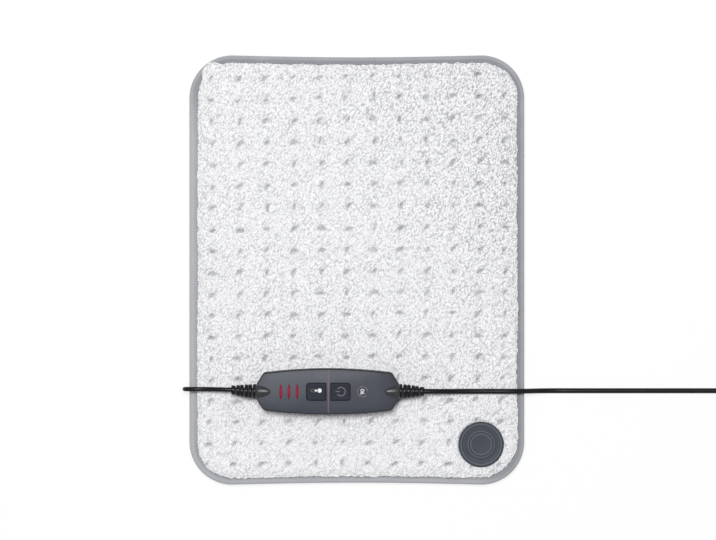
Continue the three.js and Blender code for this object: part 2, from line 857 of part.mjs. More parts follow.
function addEntryRelief() {
  const root = entryY + capRadius + clearance;
  const leadZ = padLeadHiddenRoute[0][2];
  const halfHeight = leadZ - clearance;
  const shape = new THREE.Shape();
  shape.moveTo(entryX - entryReliefWidth / 2, root);
  shape.lineTo(entryX + entryReliefWidth / 2, root);
  shape.lineTo(entryX + entryReliefTipWidth / 2, root + entryReliefLength);
  shape.lineTo(entryX - entryReliefTipWidth / 2, root + entryReliefLength);
  shape.closePath();
  let body = solid(prism(shape, leadZ - halfHeight, entrySpoutHeight - clearance));
  const slots = 4;
  for (let i = 1; i <= slots; i += 1) {
    const y = root + (entryReliefLength * i) / (slots + 1);
    for (const side of bothSides) {
      const width = entryReliefWidth / 2;
      const x = entryX + side * (padLeadDiameter / 2 + reliefTipWall / 4 + width / 2);
      const depth = entryReliefLength / (slots + 1) / 3;
      body = cut(body, box(width, depth, entrySpoutHeight, x, y, 0));
    }
  }
  add("entry_strain_relief", body, materials.lead);
  const start = new THREE.Vector3(entryX, root - clearance, leadZ);
  const end = new THREE.Vector3(entryX, entryY + entryBlockDepth / 2 + 2 * clearance, leadZ);
  const inner = tube(new THREE.LineCurve3(start, end), padLeadDiameter, 1, 10);
  add("pad_lead_entry_end", inner, materials.lead);
}

// The controller's outline about its own middle, drawn in by an inset.
function controlOutline(inset) {
  const run = controlCornerInset;
  const rise = controlCornerHalfWidth - controlEndHalfWidth;
  const slant = Math.hypot(run, rise);
  const end = controlHalfLength - inset;
  const endY = controlEndHalfWidth - (inset * (slant - rise)) / run;
  const cornerX = controlHalfLength - run - (inset * (slant - run)) / rise;
  const cornerY = controlCornerHalfWidth - inset;
  const slantX = cornerX + (controlCornerRun * run) / slant;
  const slantY = cornerY - (controlCornerRun * rise) / slant;
  const sideX = cornerX - controlCornerRun;
  const middleY = controlHalfWidth - inset;
  const shape = new THREE.Shape();
  shape.moveTo(end, -endY);
  shape.lineTo(end, endY);
  shape.lineTo(slantX, slantY);
  shape.quadraticCurveTo(cornerX, cornerY, sideX, cornerY);
  shape.quadraticCurveTo(0, 2 * middleY - cornerY, -sideX, cornerY);
  shape.quadraticCurveTo(-cornerX, cornerY, -slantX, slantY);
  shape.lineTo(-end, endY);
  shape.lineTo(-end, -endY);
  shape.lineTo(-slantX, -slantY);
  shape.quadraticCurveTo(-cornerX, -cornerY, -sideX, -cornerY);
  shape.quadraticCurveTo(0, cornerY - 2 * middleY, sideX, -cornerY);
  shape.quadraticCurveTo(cornerX, -cornerY, slantX, -slantY);
  shape.closePath();
  const points = shape.getPoints(6);
  points.pop();
  return points.map((p) => new THREE.Vector2(p.x + controlX, p.y + controlY));
}

function controlLoft(profile) {
  return loft(profile.map(([inset, z]) => level(controlOutline(inset), z)));
}

// A key's opening or body, seen from above: square beside the bridge, rounded on its outer side.
function keyShape(side, growth) {
  const near = bridgeX + side * (keyBridge / 2 - growth);
  const far = bridgeX + side * (keyBridge / 2 + keyLength + growth);
  const top = controlY + keyWidth / 2 + growth;
  const bottom = controlY - keyWidth / 2 - growth;
  const radius = keyCornerRadius + growth;
  const shape = new THREE.Shape();
  shape.moveTo(near, bottom);
  shape.lineTo(far - side * radius, bottom);
  shape.quadraticCurveTo(far, bottom, far, bottom + radius);
  shape.lineTo(far, top - radius);
  shape.quadraticCurveTo(far, top, far - side * radius, top);
  shape.lineTo(near, top);
  shape.closePath();
  return shape;
}

function keyMiddle(side) {
  return bridgeX + (side * (keyBridge + keyLength)) / 2;
}

function indicatorPlaces() {
  return Array.from({ length: indicatorCount }, (_, i) => indicatorFirstX + i * indicatorPitch);
}

function screwPlaces() {
  return bothSides.flatMap((x) => bothSides.map((y) => [controlX + x * screwX, controlY + y * screwY]));
}

// The pointed swelling of the cover over each strain relief.
function endSwelling(side) {
  const stations = [
    [0.35, 0.84, -0.4],
    [0.22, 0.88, 0],
    [-0.15, 0.8, 0.08],
    [-0.4, 0.52, 0.07],
    [-0.53, 0.14, 0.03],
  ];
  const section = [
    [1, 0],
    [0.8, 0.6],
    [0.35, 0.95],
    [0, 1],
    [-0.35, 0.95],
    [-0.8, 0.6],
    [-1, 0],
  ];
  const swellingLength = 2 * reliefRootRadius;
  const end = controlX + side * (controlHalfLength - controlTopRound);
  const low = controlRoof - controlWall;
  const rings = stations.map(([along, width, height]) =>
    section.map(([across, up]) => {
      const x = end + side * along * swellingLength;
      const y = controlY + across * width * reliefRootRadius;
      const top = controlTop + height * controlTopRound;
      return new THREE.Vector3(x, y, low + up * (top - low));
    }),
  );
  if (side > 0) rings.reverse();
  return loft(rings);
}

// The wedges over the sloping ends of the cover's face, let down by a depth.
function endSlopes(depth) {
  const start = controlHalfLength - controlSlopeLength;
  const end = controlHalfLength + overrun;
  const top = controlTop + overrun;
  const fall = (controlEndFall * (end - start)) / controlSlopeLength;
  const outline = [
    [start, controlTop - depth],
    [end, controlTop - fall - depth],
    [end, top],
    [start, top],
  ];
  return bothSides.map((side) => {
    const rings = bothSides.map((across) =>
      outline.map(([along, z]) => {
        const x = controlX + side * along;
        const y = controlY + across * controlHalfWidth;
        return new THREE.Vector3(x, y, z);
      }),
    );
    if (side > 0) rings.reverse();
    return loft(rings);
  });
}

function topHousing() {
  const round = controlTopRound;
  const top = controlTop;
  const outside = [
    [0, partingZ + clearance / 2],
    [0, top - round],
    [round * 0.13, top - round * 0.5],
    [round * 0.5, top - round * 0.13],
    [round, top],
  ];
  const inside = [
    [controlWall, partingZ - overrun],
    [controlWall, controlRoof - round / 3],
    [controlWall + round / 3, controlRoof],
  ];
  let body = cut(solid(controlLoft(outside)), ...endSlopes(0));
  for (const side of bothSides) body = body.add(solid(endSwelling(side)));
  body = body.subtract(cut(solid(controlLoft(inside)), ...endSlopes(controlWall)));
  for (const [x, y] of screwPlaces()) {
    body = body.add(solid(post(bossRadius, boardTop + clearance, controlRoof + controlWall / 2, x, y, 12)));
    body = cut(body, post(screwRadius + clearance, boardBottom, controlRoof, x, y, 12));
  }
  for (const side of bothSides) {
    body = cut(body, prism(keyShape(side, clearance), controlRoof - overrun, top + overrun));
  }
  for (const x of indicatorPlaces()) {
    const width = indicatorWidth + 2 * clearance;
    const length = indicatorLength + 2 * clearance;
    body = cut(body, box(width, length, controlWall + 2 * overrun, x, controlY, controlRoof - overrun));
  }
  return cut(body, ...bothSides.map((side) => reliefHole(side)));
}

function bottomHousing() {
  const round = controlBottomRound;
  const bottom = controlBottom;
  const rim = partingZ - clearance / 2;
  const outside = [
    [round, bottom],
    [round / 4, bottom + round / 4],
    [0, bottom + round],
    [0, rim],
  ];
  const inside = [
    [controlWall + round / 2, controlFloor],
    [controlWall, controlFloor + round / 2],
    [controlWall, rim + overrun],
  ];
  let body = cut(solid(controlLoft(outside)), controlLoft(inside));
  for (const [x, y] of screwPlaces()) {
    body = body.add(solid(post(bossRadius, bottom + round / 2, boardBottom - clearance, x, y, 12)));
    body = cut(
      body,
      post(screwRadius + clearance, bottom, partingZ, x, y, 12),
      post(screwHeadRadius + clearance, bottom - overrun, bottom + screwHeadHeight + clearance, x, y, 12),
    );
  }
  return cut(body, ...bothSides.map((side) => reliefHole(side)));
}

// The hole at an end of the housing that grips a strain relief's neck.
function reliefHole(side) {
  const radius = reliefNeckRadius + clearance;
  const length = 2 * (controlWall + overrun);
  const x = controlX + side * controlHalfLength;
  return new THREE.CylinderGeometry(radius, radius, length, 16)
    .rotateZ(Math.PI / 2)
    .translate(x, controlY, partingZ);
}

// The ribbed outside of a relief, from one radius to another along a length.
function ribs(start, length, count, firstRadius, lastRadius) {
  const pitch = length / count;
  const profile = [];
  for (let i = 0; i < count; i += 1) {
    const rib = start + i * pitch;
    const radius = THREE.MathUtils.lerp(firstRadius, lastRadius, (i / (count - 1)) ** reliefTaper);
    profile.push([radius, rib]);
    if (i === count - 1) {
      profile.push([radius, start + length]);
    } else {
      profile.push([radius, rib + pitch * ribShare]);
      profile.push([radius * reliefGrooveShare, rib + pitch * (1 + ribShare) / 2]);
      profile.push([radius * reliefGrooveShare, rib + pitch * (7 + ribShare) / 8]);
    }
  }
  return profile;
}

// A relief turned about the lead: a collar inside the wall, a neck in it, and a tapering ribbed sleeve.
function strainRelief(side, leadDiameter) {
  const wallInside = -controlWall - clearance;
  const tipRadius = leadDiameter / 2 + reliefTipWall;
  const profile = [
    [0, wallInside - reliefCollarLength],
    [reliefCollarRadius, wallInside - reliefCollarLength],
    [reliefCollarRadius, wallInside],
    [reliefNeckRadius, wallInside],
    [reliefNeckRadius, clearance],
  ];
  profile.push(...ribs(clearance, reliefLength, reliefRibs, reliefRootRadius, tipRadius));
  profile.push([0, clearance + reliefLength]);
  return turned(profile, 12)
    .rotateZ((-side * Math.PI) / 2)
    .translate(controlX + side * controlHalfLength, controlY, partingZ);
}

// The end of a lead inside the housing, from its relief's collar to its terminal block.
function leadEnd(side, leadDiameter) {
  const collar = controlHalfLength - controlWall - clearance - reliefCollarLength;
  const start = controlX + side * (collar - clearance);
  const end = start - side * leadEndLength;
  const line = new THREE.LineCurve3(
    new THREE.Vector3(start, controlY, partingZ),
    new THREE.Vector3(end, controlY, partingZ),
  );
  return tube(line, leadDiameter, 1, 10);
}

function keyBody(side) {
  const cap = prism(keyShape(side, 0), keyUnderside, keyTop);
  const middle = keyMiddle(side);
  const flange = box(
    keyLength,
    keyWidth + 2 * keyFlange,
    keyFlangeThickness,
    middle,
    controlY,
    keyUnderside,
  );
  const outer = box(
    keyFlange + keyCornerRadius,
    keyWidth,
    keyFlangeThickness,
    middle + (side * (keyLength + keyFlange - keyCornerRadius)) / 2,
    controlY,
    keyUnderside,
  );
  const stem = post(keyStemRadius, stemBottom, keyUnderside + keyFlangeThickness / 2, middle, controlY, 12);
  return join(cap, flange, outer, stem);
}

function tactSwitch(side) {
  const x = keyMiddle(side);
  const bottom = boardTop + clearance;
  const bodyTop = bottom + switchBodyHeight - screwHeadHeight / 2;
  const body = box(switchWidth, switchWidth, bodyTop - bottom, x, controlY, bottom);
  const plunger = post(switchPlungerRadius, bottom, bottom + switchBodyHeight, x, controlY, 12);
  return join(body, plunger);
}

function circuitBoard() {
  const fit = controlWall + 4 * clearance;
  const outline = controlLoft([
    [fit, boardBottom],
    [fit, boardTop],
  ]);
  const span = box(
    2 * boardHalfLength,
    2 * controlHalfWidth,
    2 * overrun,
    controlX,
    controlY,
    boardBottom - boardThickness / 4,
  );
  const holes = screwPlaces().map(([x, y]) =>
    post(screwRadius + clearance, boardBottom - overrun, boardTop + overrun, x, y, 12),
  );
  return cut(solid(outline).intersect(solid(span)), ...holes);
}

// A terminal block with two wire pockets on top.
function terminalBlock(side) {
  const x = controlX + side * blockCentre;
  const bottom = boardTop + clearance;
  const body = solid(box(blockLength, blockWidth, blockHeight, x, controlY, bottom));
  const pockets = bothSides.map((half) =>
    box(
      blockLength / 2,
      blockWidth / 4,
      blockHeight / 2 + overrun,
      x,
      controlY + (half * blockWidth) / 4,
      bottom + blockHeight / 2,
    ),
  );
  return cut(body, ...pockets);
}

// A moulded block with a bevelled top, standing on the board.
function boardBlock({ width, depth, height, fromMiddleX, fromMiddleY }) {
  const x = controlX + fromMiddleX;
  const y = controlY + fromMiddleY;
  const chamfer = Math.min(width, depth) / 8;
  const bottom = boardTop + clearance;
  const outline = (inset) => [
    new THREE.Vector2(x - width / 2 + inset, y - depth / 2 + inset),
    new THREE.Vector2(x + width / 2 - inset, y - depth / 2 + inset),
    new THREE.Vector2(x + width / 2 - inset, y + depth / 2 - inset),
    new THREE.Vector2(x - width / 2 + inset, y + depth / 2 - inset),
  ];
  return loft([
    level(outline(0), bottom),
    level(outline(0), bottom + height - chamfer),
    level(outline(chamfer), bottom + height),
  ]);
}

function addBoardParts() {
  add("control_chip", boardBlock(chip), materials.chip);
  add("triac", boardBlock(triac), materials.chip);
  add("film_capacitor", boardBlock(capacitor), materials.filmBlock);
  const fuseZ = boardTop + clearance + fuse.radius;
  const tubeBody = new THREE.CylinderGeometry(fuse.radius, fuse.radius, fuse.length, 12)
    .rotateZ(Math.PI / 2)
    .translate(controlX + fuse.fromMiddleX, controlY + fuse.fromMiddleY, fuseZ);
  add("mains_fuse", tubeBody, materials.glass);
}

function addController() {
  add("controller_top_housing", topHousing(), materials.darkPlastic);
  add("controller_bottom_housing", bottomHousing(), materials.darkPlastic);
  add("circuit_board", circuitBoard(), materials.circuitBoard);
  add("temperature_key", keyBody(-1), materials.keyPlastic);
  add("power_key", keyBody(1), materials.keyPlastic);
  add("temperature_switch", tactSwitch(-1), materials.chip);
  add("power_switch", tactSwitch(1), materials.chip);
  indicatorPlaces().forEach((x, i) => addIndicator(x, i + 1));
  addBoardParts();
  add("pad_side_terminal", terminalBlock(-1), materials.terminal);
  add("mains_side_terminal", terminalBlock(1), materials.terminal);
  add("pad_side_relief", strainRelief(-1, padLeadDiameter), materials.lead);
  add("mains_side_relief", strainRelief(1, mainsLeadDiameter), materials.lead);
  add("pad_lead_inner_end", leadEnd(-1, padLeadDiameter), materials.lead);
  add("mains_lead_inner_end", leadEnd(1, mainsLeadDiameter), materials.lead);
  screwPlaces().forEach(([x, y], i) => {
    const headBottom = controlBottom + clearance;
    const head = post(screwHeadRadius, headBottom, controlBottom + screwHeadHeight, x, y, 12);
    const shank = post(screwRadius, headBottom, controlRoof - clearance, x, y, 12);
    add(`housing_screw_${i + 1}`, join(head, shank), materials.steel);
  });
}

function addIndicator(x, number) {
  const flangeTop = controlRoof - clearance;
  const flangeBottom = flangeTop - indicatorFlangeThickness;
  const bar = box(indicatorWidth, indicatorLength, controlTop - flangeBottom, x, controlY, flangeBottom);
  const flange = box(
    indicatorWidth + 2 * indicatorFlange,
    indicatorLength + 2 * indicatorFlange,
    indicatorFlangeThickness,
    x,
    controlY,
    flangeBottom,
  );
  add(`indicator_window_${number}`, join(bar, flange), materials.lamp);
  const bottom = boardTop + clearance;
  const base = box(lampBaseWidth, lampBaseWidth, lampBaseHeight, x, controlY, bottom);
  const lens = post(lampRadius, bottom, flangeBottom - lampGap, x, controlY, 12);
  add(`indicator_lamp_${number}`, join(base, lens), materials.lamp);
}

// The coil: turns spiral in, climb a layer in a half turn, and spiral out again.
const coilPitch = mainsLeadDiameter + coilGap;
const coilLowZ = tieThickness + 2 * clearance + mainsLeadDiameter / 2;
const coilHighZ = coilLowZ + coilPitch;
const coilY = mainsLeadRoute.at(-1)[1] + coilOuterRadius;
const climbTurns = 0.5;
const totalTurns = 2 * coilTurnsPerLayer + 0.25;

// The coil's middle line at a number of turns from its start.
function coilPoint(turns) {
  const inward = (totalTurns - climbTurns) / 2;
  const outward = Math.max(turns - inward - climbTurns, 0);
  const travelled = Math.min(turns, inward) - outward;
  const climb = THREE.MathUtils.smoothstep(turns, inward, inward + climbTurns);
  const bow = coilClimbDip * Math.sin(Math.PI * climb);
  const radius = coilOuterRadius - coilPitch * travelled - bow;
  const z = THREE.MathUtils.lerp(coilLowZ, coilHighZ, climb);
  const angle = 2 * Math.PI * (turns - 0.25);
  return new THREE.Vector3(coilX + radius * Math.cos(angle), coilY + radius * Math.sin(angle), z);
}

function coilPath(stepsPerTurn) {
  const steps = Math.round(totalTurns * stepsPerTurn);
  const turning = Array.from({ length: steps + 1 }, (_, k) => coilPoint((k * totalTurns) / steps));
  const first = turning[0].clone().add(new THREE.Vector3(-mainsLeadDiameter, 0, 0));
  const last = turning.at(-1).clone().add(new THREE.Vector3(0, mainsLeadDiameter, 0));
  return [first, ...turning, last];
}

// The least gap between stretches of the coil that lie apart along it.
function coilSelfGap() {
  const samplesPerTurn = 72;
  const path = coilPath(samplesPerTurn);
  const apart = Math.round(samplesPerTurn / 3);
  let least = Infinity;
  for (let i = 0; i < path.length; i += 1) {
    for (let j = i + apart; j < path.length; j += 1) {
      least = Math.min(least, path[i].distanceTo(path[j]));
    }
  }
  return least - mainsLeadDiameter;
}

// A strap round the coil's bundle, on its left side.
function coilTie() {
  const inward = (totalTurns - climbTurns) / 2;
  const innermost = coilOuterRadius - coilPitch * inward;
  const bend = innermost - Math.sqrt(innermost ** 2 - (tieWidth / 2) ** 2);
  const half = mainsLeadDiameter / 2 + clearance;
  const near = innermost - bend - half;
  const far = coilOuterRadius + half;
  const low = coilLowZ - half;
  const high = coilHighZ + half;
  const x = coilX - (near + far) / 2;
  const outer = box(
    far - near + 2 * tieThickness,
    tieWidth,
    high - low + 2 * tieThickness,
    x,
    coilY,
    low - tieThickness,
  );
  const inner = box(far - near, tieWidth + overrun, high - low, x, coilY, low);
  return cut(solid(outer), inner);
}

const tailX = coilPoint(totalTurns).x;
const tailStartY = coilY + mainsLeadDiameter + clearance;
const plugReliefY = tailStartY + tailLength + clearance;
const plugY = plugReliefY + plugReliefLength + clearance;
const plugZ = plugThickness / 2;

function mainsTail() {
  const startZ = coilHighZ;
  const route = [0, 0.25, 0.5, 0.75, 1].map((share) => {
    const z = THREE.MathUtils.lerp(startZ, plugZ, THREE.MathUtils.smoothstep(share, 0, 1));
    return [tailX, tailStartY + share * tailLength, z];
  });
  return tube(curveThrough(route), mainsLeadDiameter, 8, 10);
}

// The plug's flat body, waisted towards the lead, with its ends rounded in thickness.
function plugBody() {
  const shape = new THREE.Shape();
  const half = plugWidth / 2;
  const back = half * plugWaistShare;
  const waistY = plugY + plugLength * 0.45;
  shape.moveTo(tailX - back, plugY);
  shape.lineTo(tailX + back, plugY);
  shape.quadraticCurveTo(tailX + back, waistY, tailX + half, waistY + plugLength / 8);
  shape.lineTo(tailX + half, plugY + plugLength);
  shape.lineTo(tailX - half, plugY + plugLength);
  shape.lineTo(tailX - half, waistY + plugLength / 8);
  shape.quadraticCurveTo(tailX - back, waistY, tailX - back, plugY);
  const section = new THREE.Shape();
  const radius = plugThickness / 2;
  section.moveTo(-half + radius, -radius);
  section.lineTo(half - radius, -radius);
  section.absarc(half - radius, 0, radius, -Math.PI / 2, Math.PI / 2, false);
  section.lineTo(-half + radius, radius);
  section.absarc(-half + radius, 0, radius, Math.PI / 2, (3 * Math.PI) / 2, false);
  const sweep = { depth: plugLength, bevelEnabled: false, curveSegments: 5 };
  const bar = new THREE.ExtrudeGeometry(section, sweep)
    .rotateX(Math.PI / 2)
    .translate(tailX, plugY + plugLength, plugZ);
  let body = solid(prism(shape, 0, plugThickness)).intersect(solid(bar));
  for (const side of bothSides) {
    body = cut(body, pinSocket(side));
  }
  return body;
}

function pinSocket(side) {
  const face = plugY + plugLength;
  const radius = pinRadius + clearance;
  return new THREE.CylinderGeometry(radius, radius, pinSeat + clearance + overrun, 12).translate(
    tailX + (side * pinSpacing) / 2,
    face + (overrun - pinSeat - clearance) / 2,
    plugZ,
  );
}

// A pin with a rounded tip, turned about its own axis.
function plugPin(side) {
  const face = plugY + plugLength;
  const profile = [
    [0, face - pinSeat],
    [pinRadius, face - pinSeat],
    [pinRadius, face + pinLength - pinRadius / 2],
    [pinRadius / 2, face + pinLength],
    [0, face + pinLength],
  ];
  return turned(profile, 12).translate(tailX + (side * pinSpacing) / 2, 0, plugZ);
}

function plugRelief() {
  const tipRadius = mainsLeadDiameter / 2 + reliefTipWall / 2;
  const profile = [
    [0, plugReliefY],
    ...ribs(plugReliefY, plugReliefLength, plugReliefRibs, tipRadius, plugReliefRadius),
    [0, plugReliefY + plugReliefLength],
  ];
  return turned(profile, 12).translate(tailX, 0, plugZ);
}

function addLeads() {
  const loop = curveThrough(padLeadLoopRoute);
  const hidden = curveThrough(padLeadHiddenRoute);
  const mains = curveThrough(mainsLeadRoute);
  add("pad_lead_loop", tube(loop, padLeadDiameter, 22, 10), materials.lead);
  add("pad_lead_hidden", tube(hidden, padLeadDiameter, sleeveSteps, 8), materials.lead);
  add("mains_lead", tube(mains, mainsLeadDiameter, 30, 10), materials.lead);
  const turns = wireThrough(coilPath(coilStepsPerTurn), mainsLeadDiameter, coilSides);
  add("mains_lead_coil", turns, materials.lead);
  add("coil_tie", coilTie(), materials.tie);
  add("mains_lead_tail", mainsTail(), materials.lead);
  add("plug_strain_relief", plugRelief(), materials.lead);
  add("plug_body", plugBody(), materials.lead);
  add("plug_pin_1", plugPin(-1), materials.steel);
  add("plug_pin_2", plugPin(1), materials.steel);
  console.log(`pad lead ${(loop.getLength() + hidden.getLength()).toFixed(0)} mm`);
  console.log(`mains lead to the coil ${mains.getLength().toFixed(0)} mm`);
  console.log(`coil's least gap to itself ${coilSelfGap().toFixed(2)} mm`);
}

addPad();
addEntry();
addController();
addLeads();

export default group;
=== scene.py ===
"""Looks of the heating pad with a hand controller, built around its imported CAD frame."""
import math

import bmesh
import bpy
import numpy as np
from mathutils import Matrix, Vector


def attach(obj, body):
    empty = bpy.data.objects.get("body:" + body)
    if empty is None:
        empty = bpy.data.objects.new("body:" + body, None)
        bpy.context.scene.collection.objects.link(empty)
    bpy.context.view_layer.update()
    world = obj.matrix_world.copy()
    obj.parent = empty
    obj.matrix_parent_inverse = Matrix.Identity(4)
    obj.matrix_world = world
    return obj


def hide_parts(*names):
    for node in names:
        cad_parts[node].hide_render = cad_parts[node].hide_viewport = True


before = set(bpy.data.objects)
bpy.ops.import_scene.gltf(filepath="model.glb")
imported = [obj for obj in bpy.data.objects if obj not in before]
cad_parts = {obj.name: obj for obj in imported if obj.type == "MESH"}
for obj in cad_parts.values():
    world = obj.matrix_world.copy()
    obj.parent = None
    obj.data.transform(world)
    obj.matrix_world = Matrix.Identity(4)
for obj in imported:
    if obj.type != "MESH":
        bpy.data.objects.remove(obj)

bl_info = {
    "name": "Heating pad with controller",
    "version": (1, 0, 0),
    "blender": (4, 5, 0),
    "location": "View3D > Sidebar > Heating pad",
    "description": "Builds the looks of a heating pad with a hand controller around its CAD frame",
    "category": "Object",
}

MM = 0.001

# Picture: the frame's width in pixels, and what one pixel covers on the pad, in metres
PICTURE_WIDTH = 716
PIXEL = 0.93 * MM
SENSOR_WIDTH = 36
CAMERA_PLACE = (1.1 * MM, 0, 3.0)
LAMP_PLACE = (-0.18, 0.43, 2.5)
LAMP_SIZE = 0.9
FLOOR_SIZE = 4
FLOOR_DROP = 0.2 * MM

# Pad: this and all that follows is in millimetres, as in the CAD
PAD_WIDTH = 312
PAD_LENGTH = 400
CORNER_RADIUS = 40
END_DIP = 1.8  # how far the two ends bow inwards at their middle
BINDING_WIDTH = 7.5
BINDING_TOP = 9.8
BINDING_BOTTOM = 5.0
BINDING_MIDDLE = (BINDING_TOP + BINDING_BOTTOM) / 2
SEAM_HEIGHT = 7.4
PAD_TOP = 13.9
FRONT_BOTTOM = 9.7
TOP_SLOPE_START = 6.5
TOP_SLOPE = 15
UNDERSIDE_SLOPE = 22

# Tufts: each has a pit of this length, on its two sides this wide, and this deep
TUFT_COLUMNS = 12
TUFT_ROWS = 19
TUFT_ACROSS = 24.79
TUFT_ALONG = 20.06
TUFT_LEAN = math.radians(40)
TUFT_LENGTH = 4.0
TUFT_WIDTHS = (1.3, 1.9)
TUFT_DEPTH = 1.9
DIMPLE_DEPTH = 0.4
DIMPLE_SPREAD = 45

# Pile: which way its loops lie, and how much longer than wide they are
NAP = math.radians(58)
NAP_STRETCH = 1.7

# Cloth simulation of the front
CLOTH_CELL = 3.6
CLOTH_FRAMES = 20
CLOTH_SETTINGS = {
    "quality": 6,
    "mass": 0.2,
    "tension_stiffness": 12,
    "compression_stiffness": 4,
    "shear_stiffness": 3,
    "bending_stiffness": 0.4,
    "vertex_group_mass": "held",
    "shrink_min": -0.025,
    "use_pressure": True,
    "uniform_pressure_force": 9,
}

# Lead entry
ENTRY_X = 115.5
ENTRY_Y = -162.1
CAP_RADIUS = 21.1
CAP_UNDERSIDE = 12.7
CAP_TOP = 16.8
NECK_RADIUS = 14
BASE_RECESS = 2.35  # how far the back cloth is drawn up round the lead entry's base
SPOUT_HEIGHT = 5.9  # and over its spout

# Controller
CONTROL_X = -27
CONTROL_Y = -112.5
CONTROL_HALF_LENGTH = 66
CONTROL_HALF_WIDTH = 21.4
CONTROL_CORNER = 6.8
CONTROL_CORNER_HALF_WIDTH = 18
CONTROL_END_HALF_WIDTH = 6.9
CONTROL_CORNER_RUN = 3
CONTROL_SLOPE_LENGTH = 20
CONTROL_END_FALL = 3
CONTROL_BOTTOM = 14.2
PARTING = 23.7
CONTROL_TOP = 34.2
CONTROL_WALL = 2
BRIDGE_X = -26.3
BRIDGE_WIDTH = 4.6
KEY_LENGTH = 17.8
KEY_WIDTH = 15.8
KEY_CORNER = 3
KEY_TOP = 34.8
KEY_BOTTOM = 30.5
INDICATORS = (-70.2, -62.7, -55.2)
INDICATOR_LENGTH = 13
INDICATOR_WIDTH = 2.2
RELIEF_LENGTH = 23
RELIEF_RIBS = 6
RELIEF_TAPER = 1.6
RIB_SHARE = 0.74
PRINT_DEPTH = 0.12
SCREWS = [(CONTROL_X + 39 * i, CONTROL_Y + 12 * j) for i in (-1, 1) for j in (-1, 1)]

# Leads: their routes start inside the controller
PAD_LEAD_DIAMETER = 4.2
MAINS_LEAD_DIAMETER = 4.8
PAD_LEAD_ROUTE = [
    (-113.5, -112.5, 23.7),
    (-116.6, -111.1, 23.7), (-121, -110.9, 23.6), (-128, -110.7, 22.6), (-136, -110.6, 20.4),
    (-144, -110.6, 19.1), (-152, -110.6, 18.9), (-157.9, -110.7, 16.5), (-160.3, -110.8, 10.6),
    (-157.9, -111, 4.7), (-152, -111, 2.3), (-145.7, -111, 2.3), (-125, -111, 2.3),
    (-90, -111, 2.3), (-45, -111, 2.3), (-4.5, -111, 2.3), (15.5, -105.6, 2.3),
    (30.1, -91, 2.3), (35.5, -71, 2.3), (35.5, -48, 2.3), (35.5, -25, 2.3),
    (40.9, -5, 2.3), (55.5, 9.6, 2.3), (75.5, 15, 2.3), (95.5, 9.6, 2.3),
    (110.1, -5, 2.3), (115.5, -25, 2.3), (115.5, -50, 2.3), (115.5, -80, 2.3),
    (115.5, -100, 2.3), (115.5, -114.2, 2.3),
]
HIDDEN_FROM = 11  # the first point of this route that lies in the sleeve
LEAD_STEPS = 5
SLEEVE_HEIGHT = 4.9
MAINS_LEAD_ROUTE = [
    (59.5, -112.5, 23.7),
    (62.6, -112.5, 23.7), (68, -112.5, 23.5), (78, -112.6, 22), (92, -112.7, 18.4),
    (106, -112.7, 16.8), (126, -112.7, 16.6), (146, -112.7, 16.6), (154.5, -112.7, 14.9),
    (163, -112.7, 9.7), (171.5, -112.7, 4.5), (180, -112.7, 2.7), (200, -112.7, 2.7),
    (240, -112.7, 2.7), (290, -112.7, 2.7), (330, -112.7, 3), (355, -112.7, 3.6),
    (380.9, -112.7, 3.8),
]
COIL_X = 386
COIL_Y = -78.5
COIL_RADIUS = 34.2
COIL_PITCH = 5.35
COIL_LOW = 3.8
COIL_BOW = 1.5
COIL_TURNS = 8.25
COIL_CLIMB = 0.5
COIL_STEPS = 16
TAIL_START = -73.4
TAIL_LENGTH = 42
PLUG_Y = -10.8
PLUG_THICKNESS = 13.7
PIN_SPACING = 18.6

# Turns that lay an upright piece along an axis
ALONG_X = Matrix.Rotation(math.pi / 2, 4, "Y")
ALONG_Y = Matrix.Rotation(-math.pi / 2, 4, "X")


# Plain helpers


def link(name, data):
    piece = bpy.data.objects.new(name, data)
    bpy.context.scene.collection.objects.link(piece)
    return piece


def own_mesh(name, work):
    """An object from a bmesh, which is freed."""
    mesh = bpy.data.meshes.new(name)
    work.to_mesh(mesh)
    work.free()
    return link(name, mesh)


def dress(piece, finish, slot, stands_for=(), body="pad", sharp=35):
    """Smooths a piece, gives it its finish and sets it on its body."""
    if piece.type == "MESH":
        for face in piece.data.polygons:
            face.use_smooth = True
        if sharp:
            piece.data.set_sharp_from_angle(angle=math.radians(sharp))
    piece.data.materials.clear()
    piece.data.materials.append(finish)
    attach(piece, body)
    if stands_for:
        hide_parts(*stands_for)
    return piece


def finished(name, work, finish, slot, *stands_for, **how):
    """A dressed piece from a bmesh."""
    return dress(own_mesh(name, work), finish, slot, stands_for, **how)


def evaluated_mesh(piece):
    """A new mesh of a piece as its modifiers or curve settings leave it."""
    graph = bpy.context.evaluated_depsgraph_get()
    graph.update()
    return bpy.data.meshes.new_from_object(piece.evaluated_get(graph))


def settle(piece):
    """Applies a piece's modifiers to its mesh."""
    mesh, before = evaluated_mesh(piece), piece.data
    piece.modifiers.clear()
    piece.data = mesh
    bpy.data.meshes.remove(before)


def remove(piece):
    mesh = piece.data
    bpy.data.objects.remove(piece)
    bpy.data.meshes.remove(mesh)


def carve(piece, cutters):
    """Cuts pieces out of a piece and removes them."""
    for cutter in cutters:
        change = piece.modifiers.new("carve", "BOOLEAN")
        change.operation = "DIFFERENCE"
        change.object = cutter
        change.solver = "EXACT"
    settle(piece)
    for cutter in cutters:
        remove(cutter)
    return piece


def thicken(piece, thickness):
    """Gives a cloth its thickness inwards from its outside."""
    wall = piece.modifiers.new("cloth", "SOLIDIFY")
    wall.thickness = thickness * MM
    wall.offset = -1


def face_outwards(mesh, weld=None):
    """Points a mesh's faces outwards, once points that lie within a distance are merged."""
    work = bmesh.new()
    work.from_mesh(mesh)
    if weld:
        bmesh.ops.remove_doubles(work, verts=work.verts, dist=weld)
    bmesh.ops.recalc_face_normals(work, faces=work.faces)
    work.to_mesh(mesh)
    work.free()


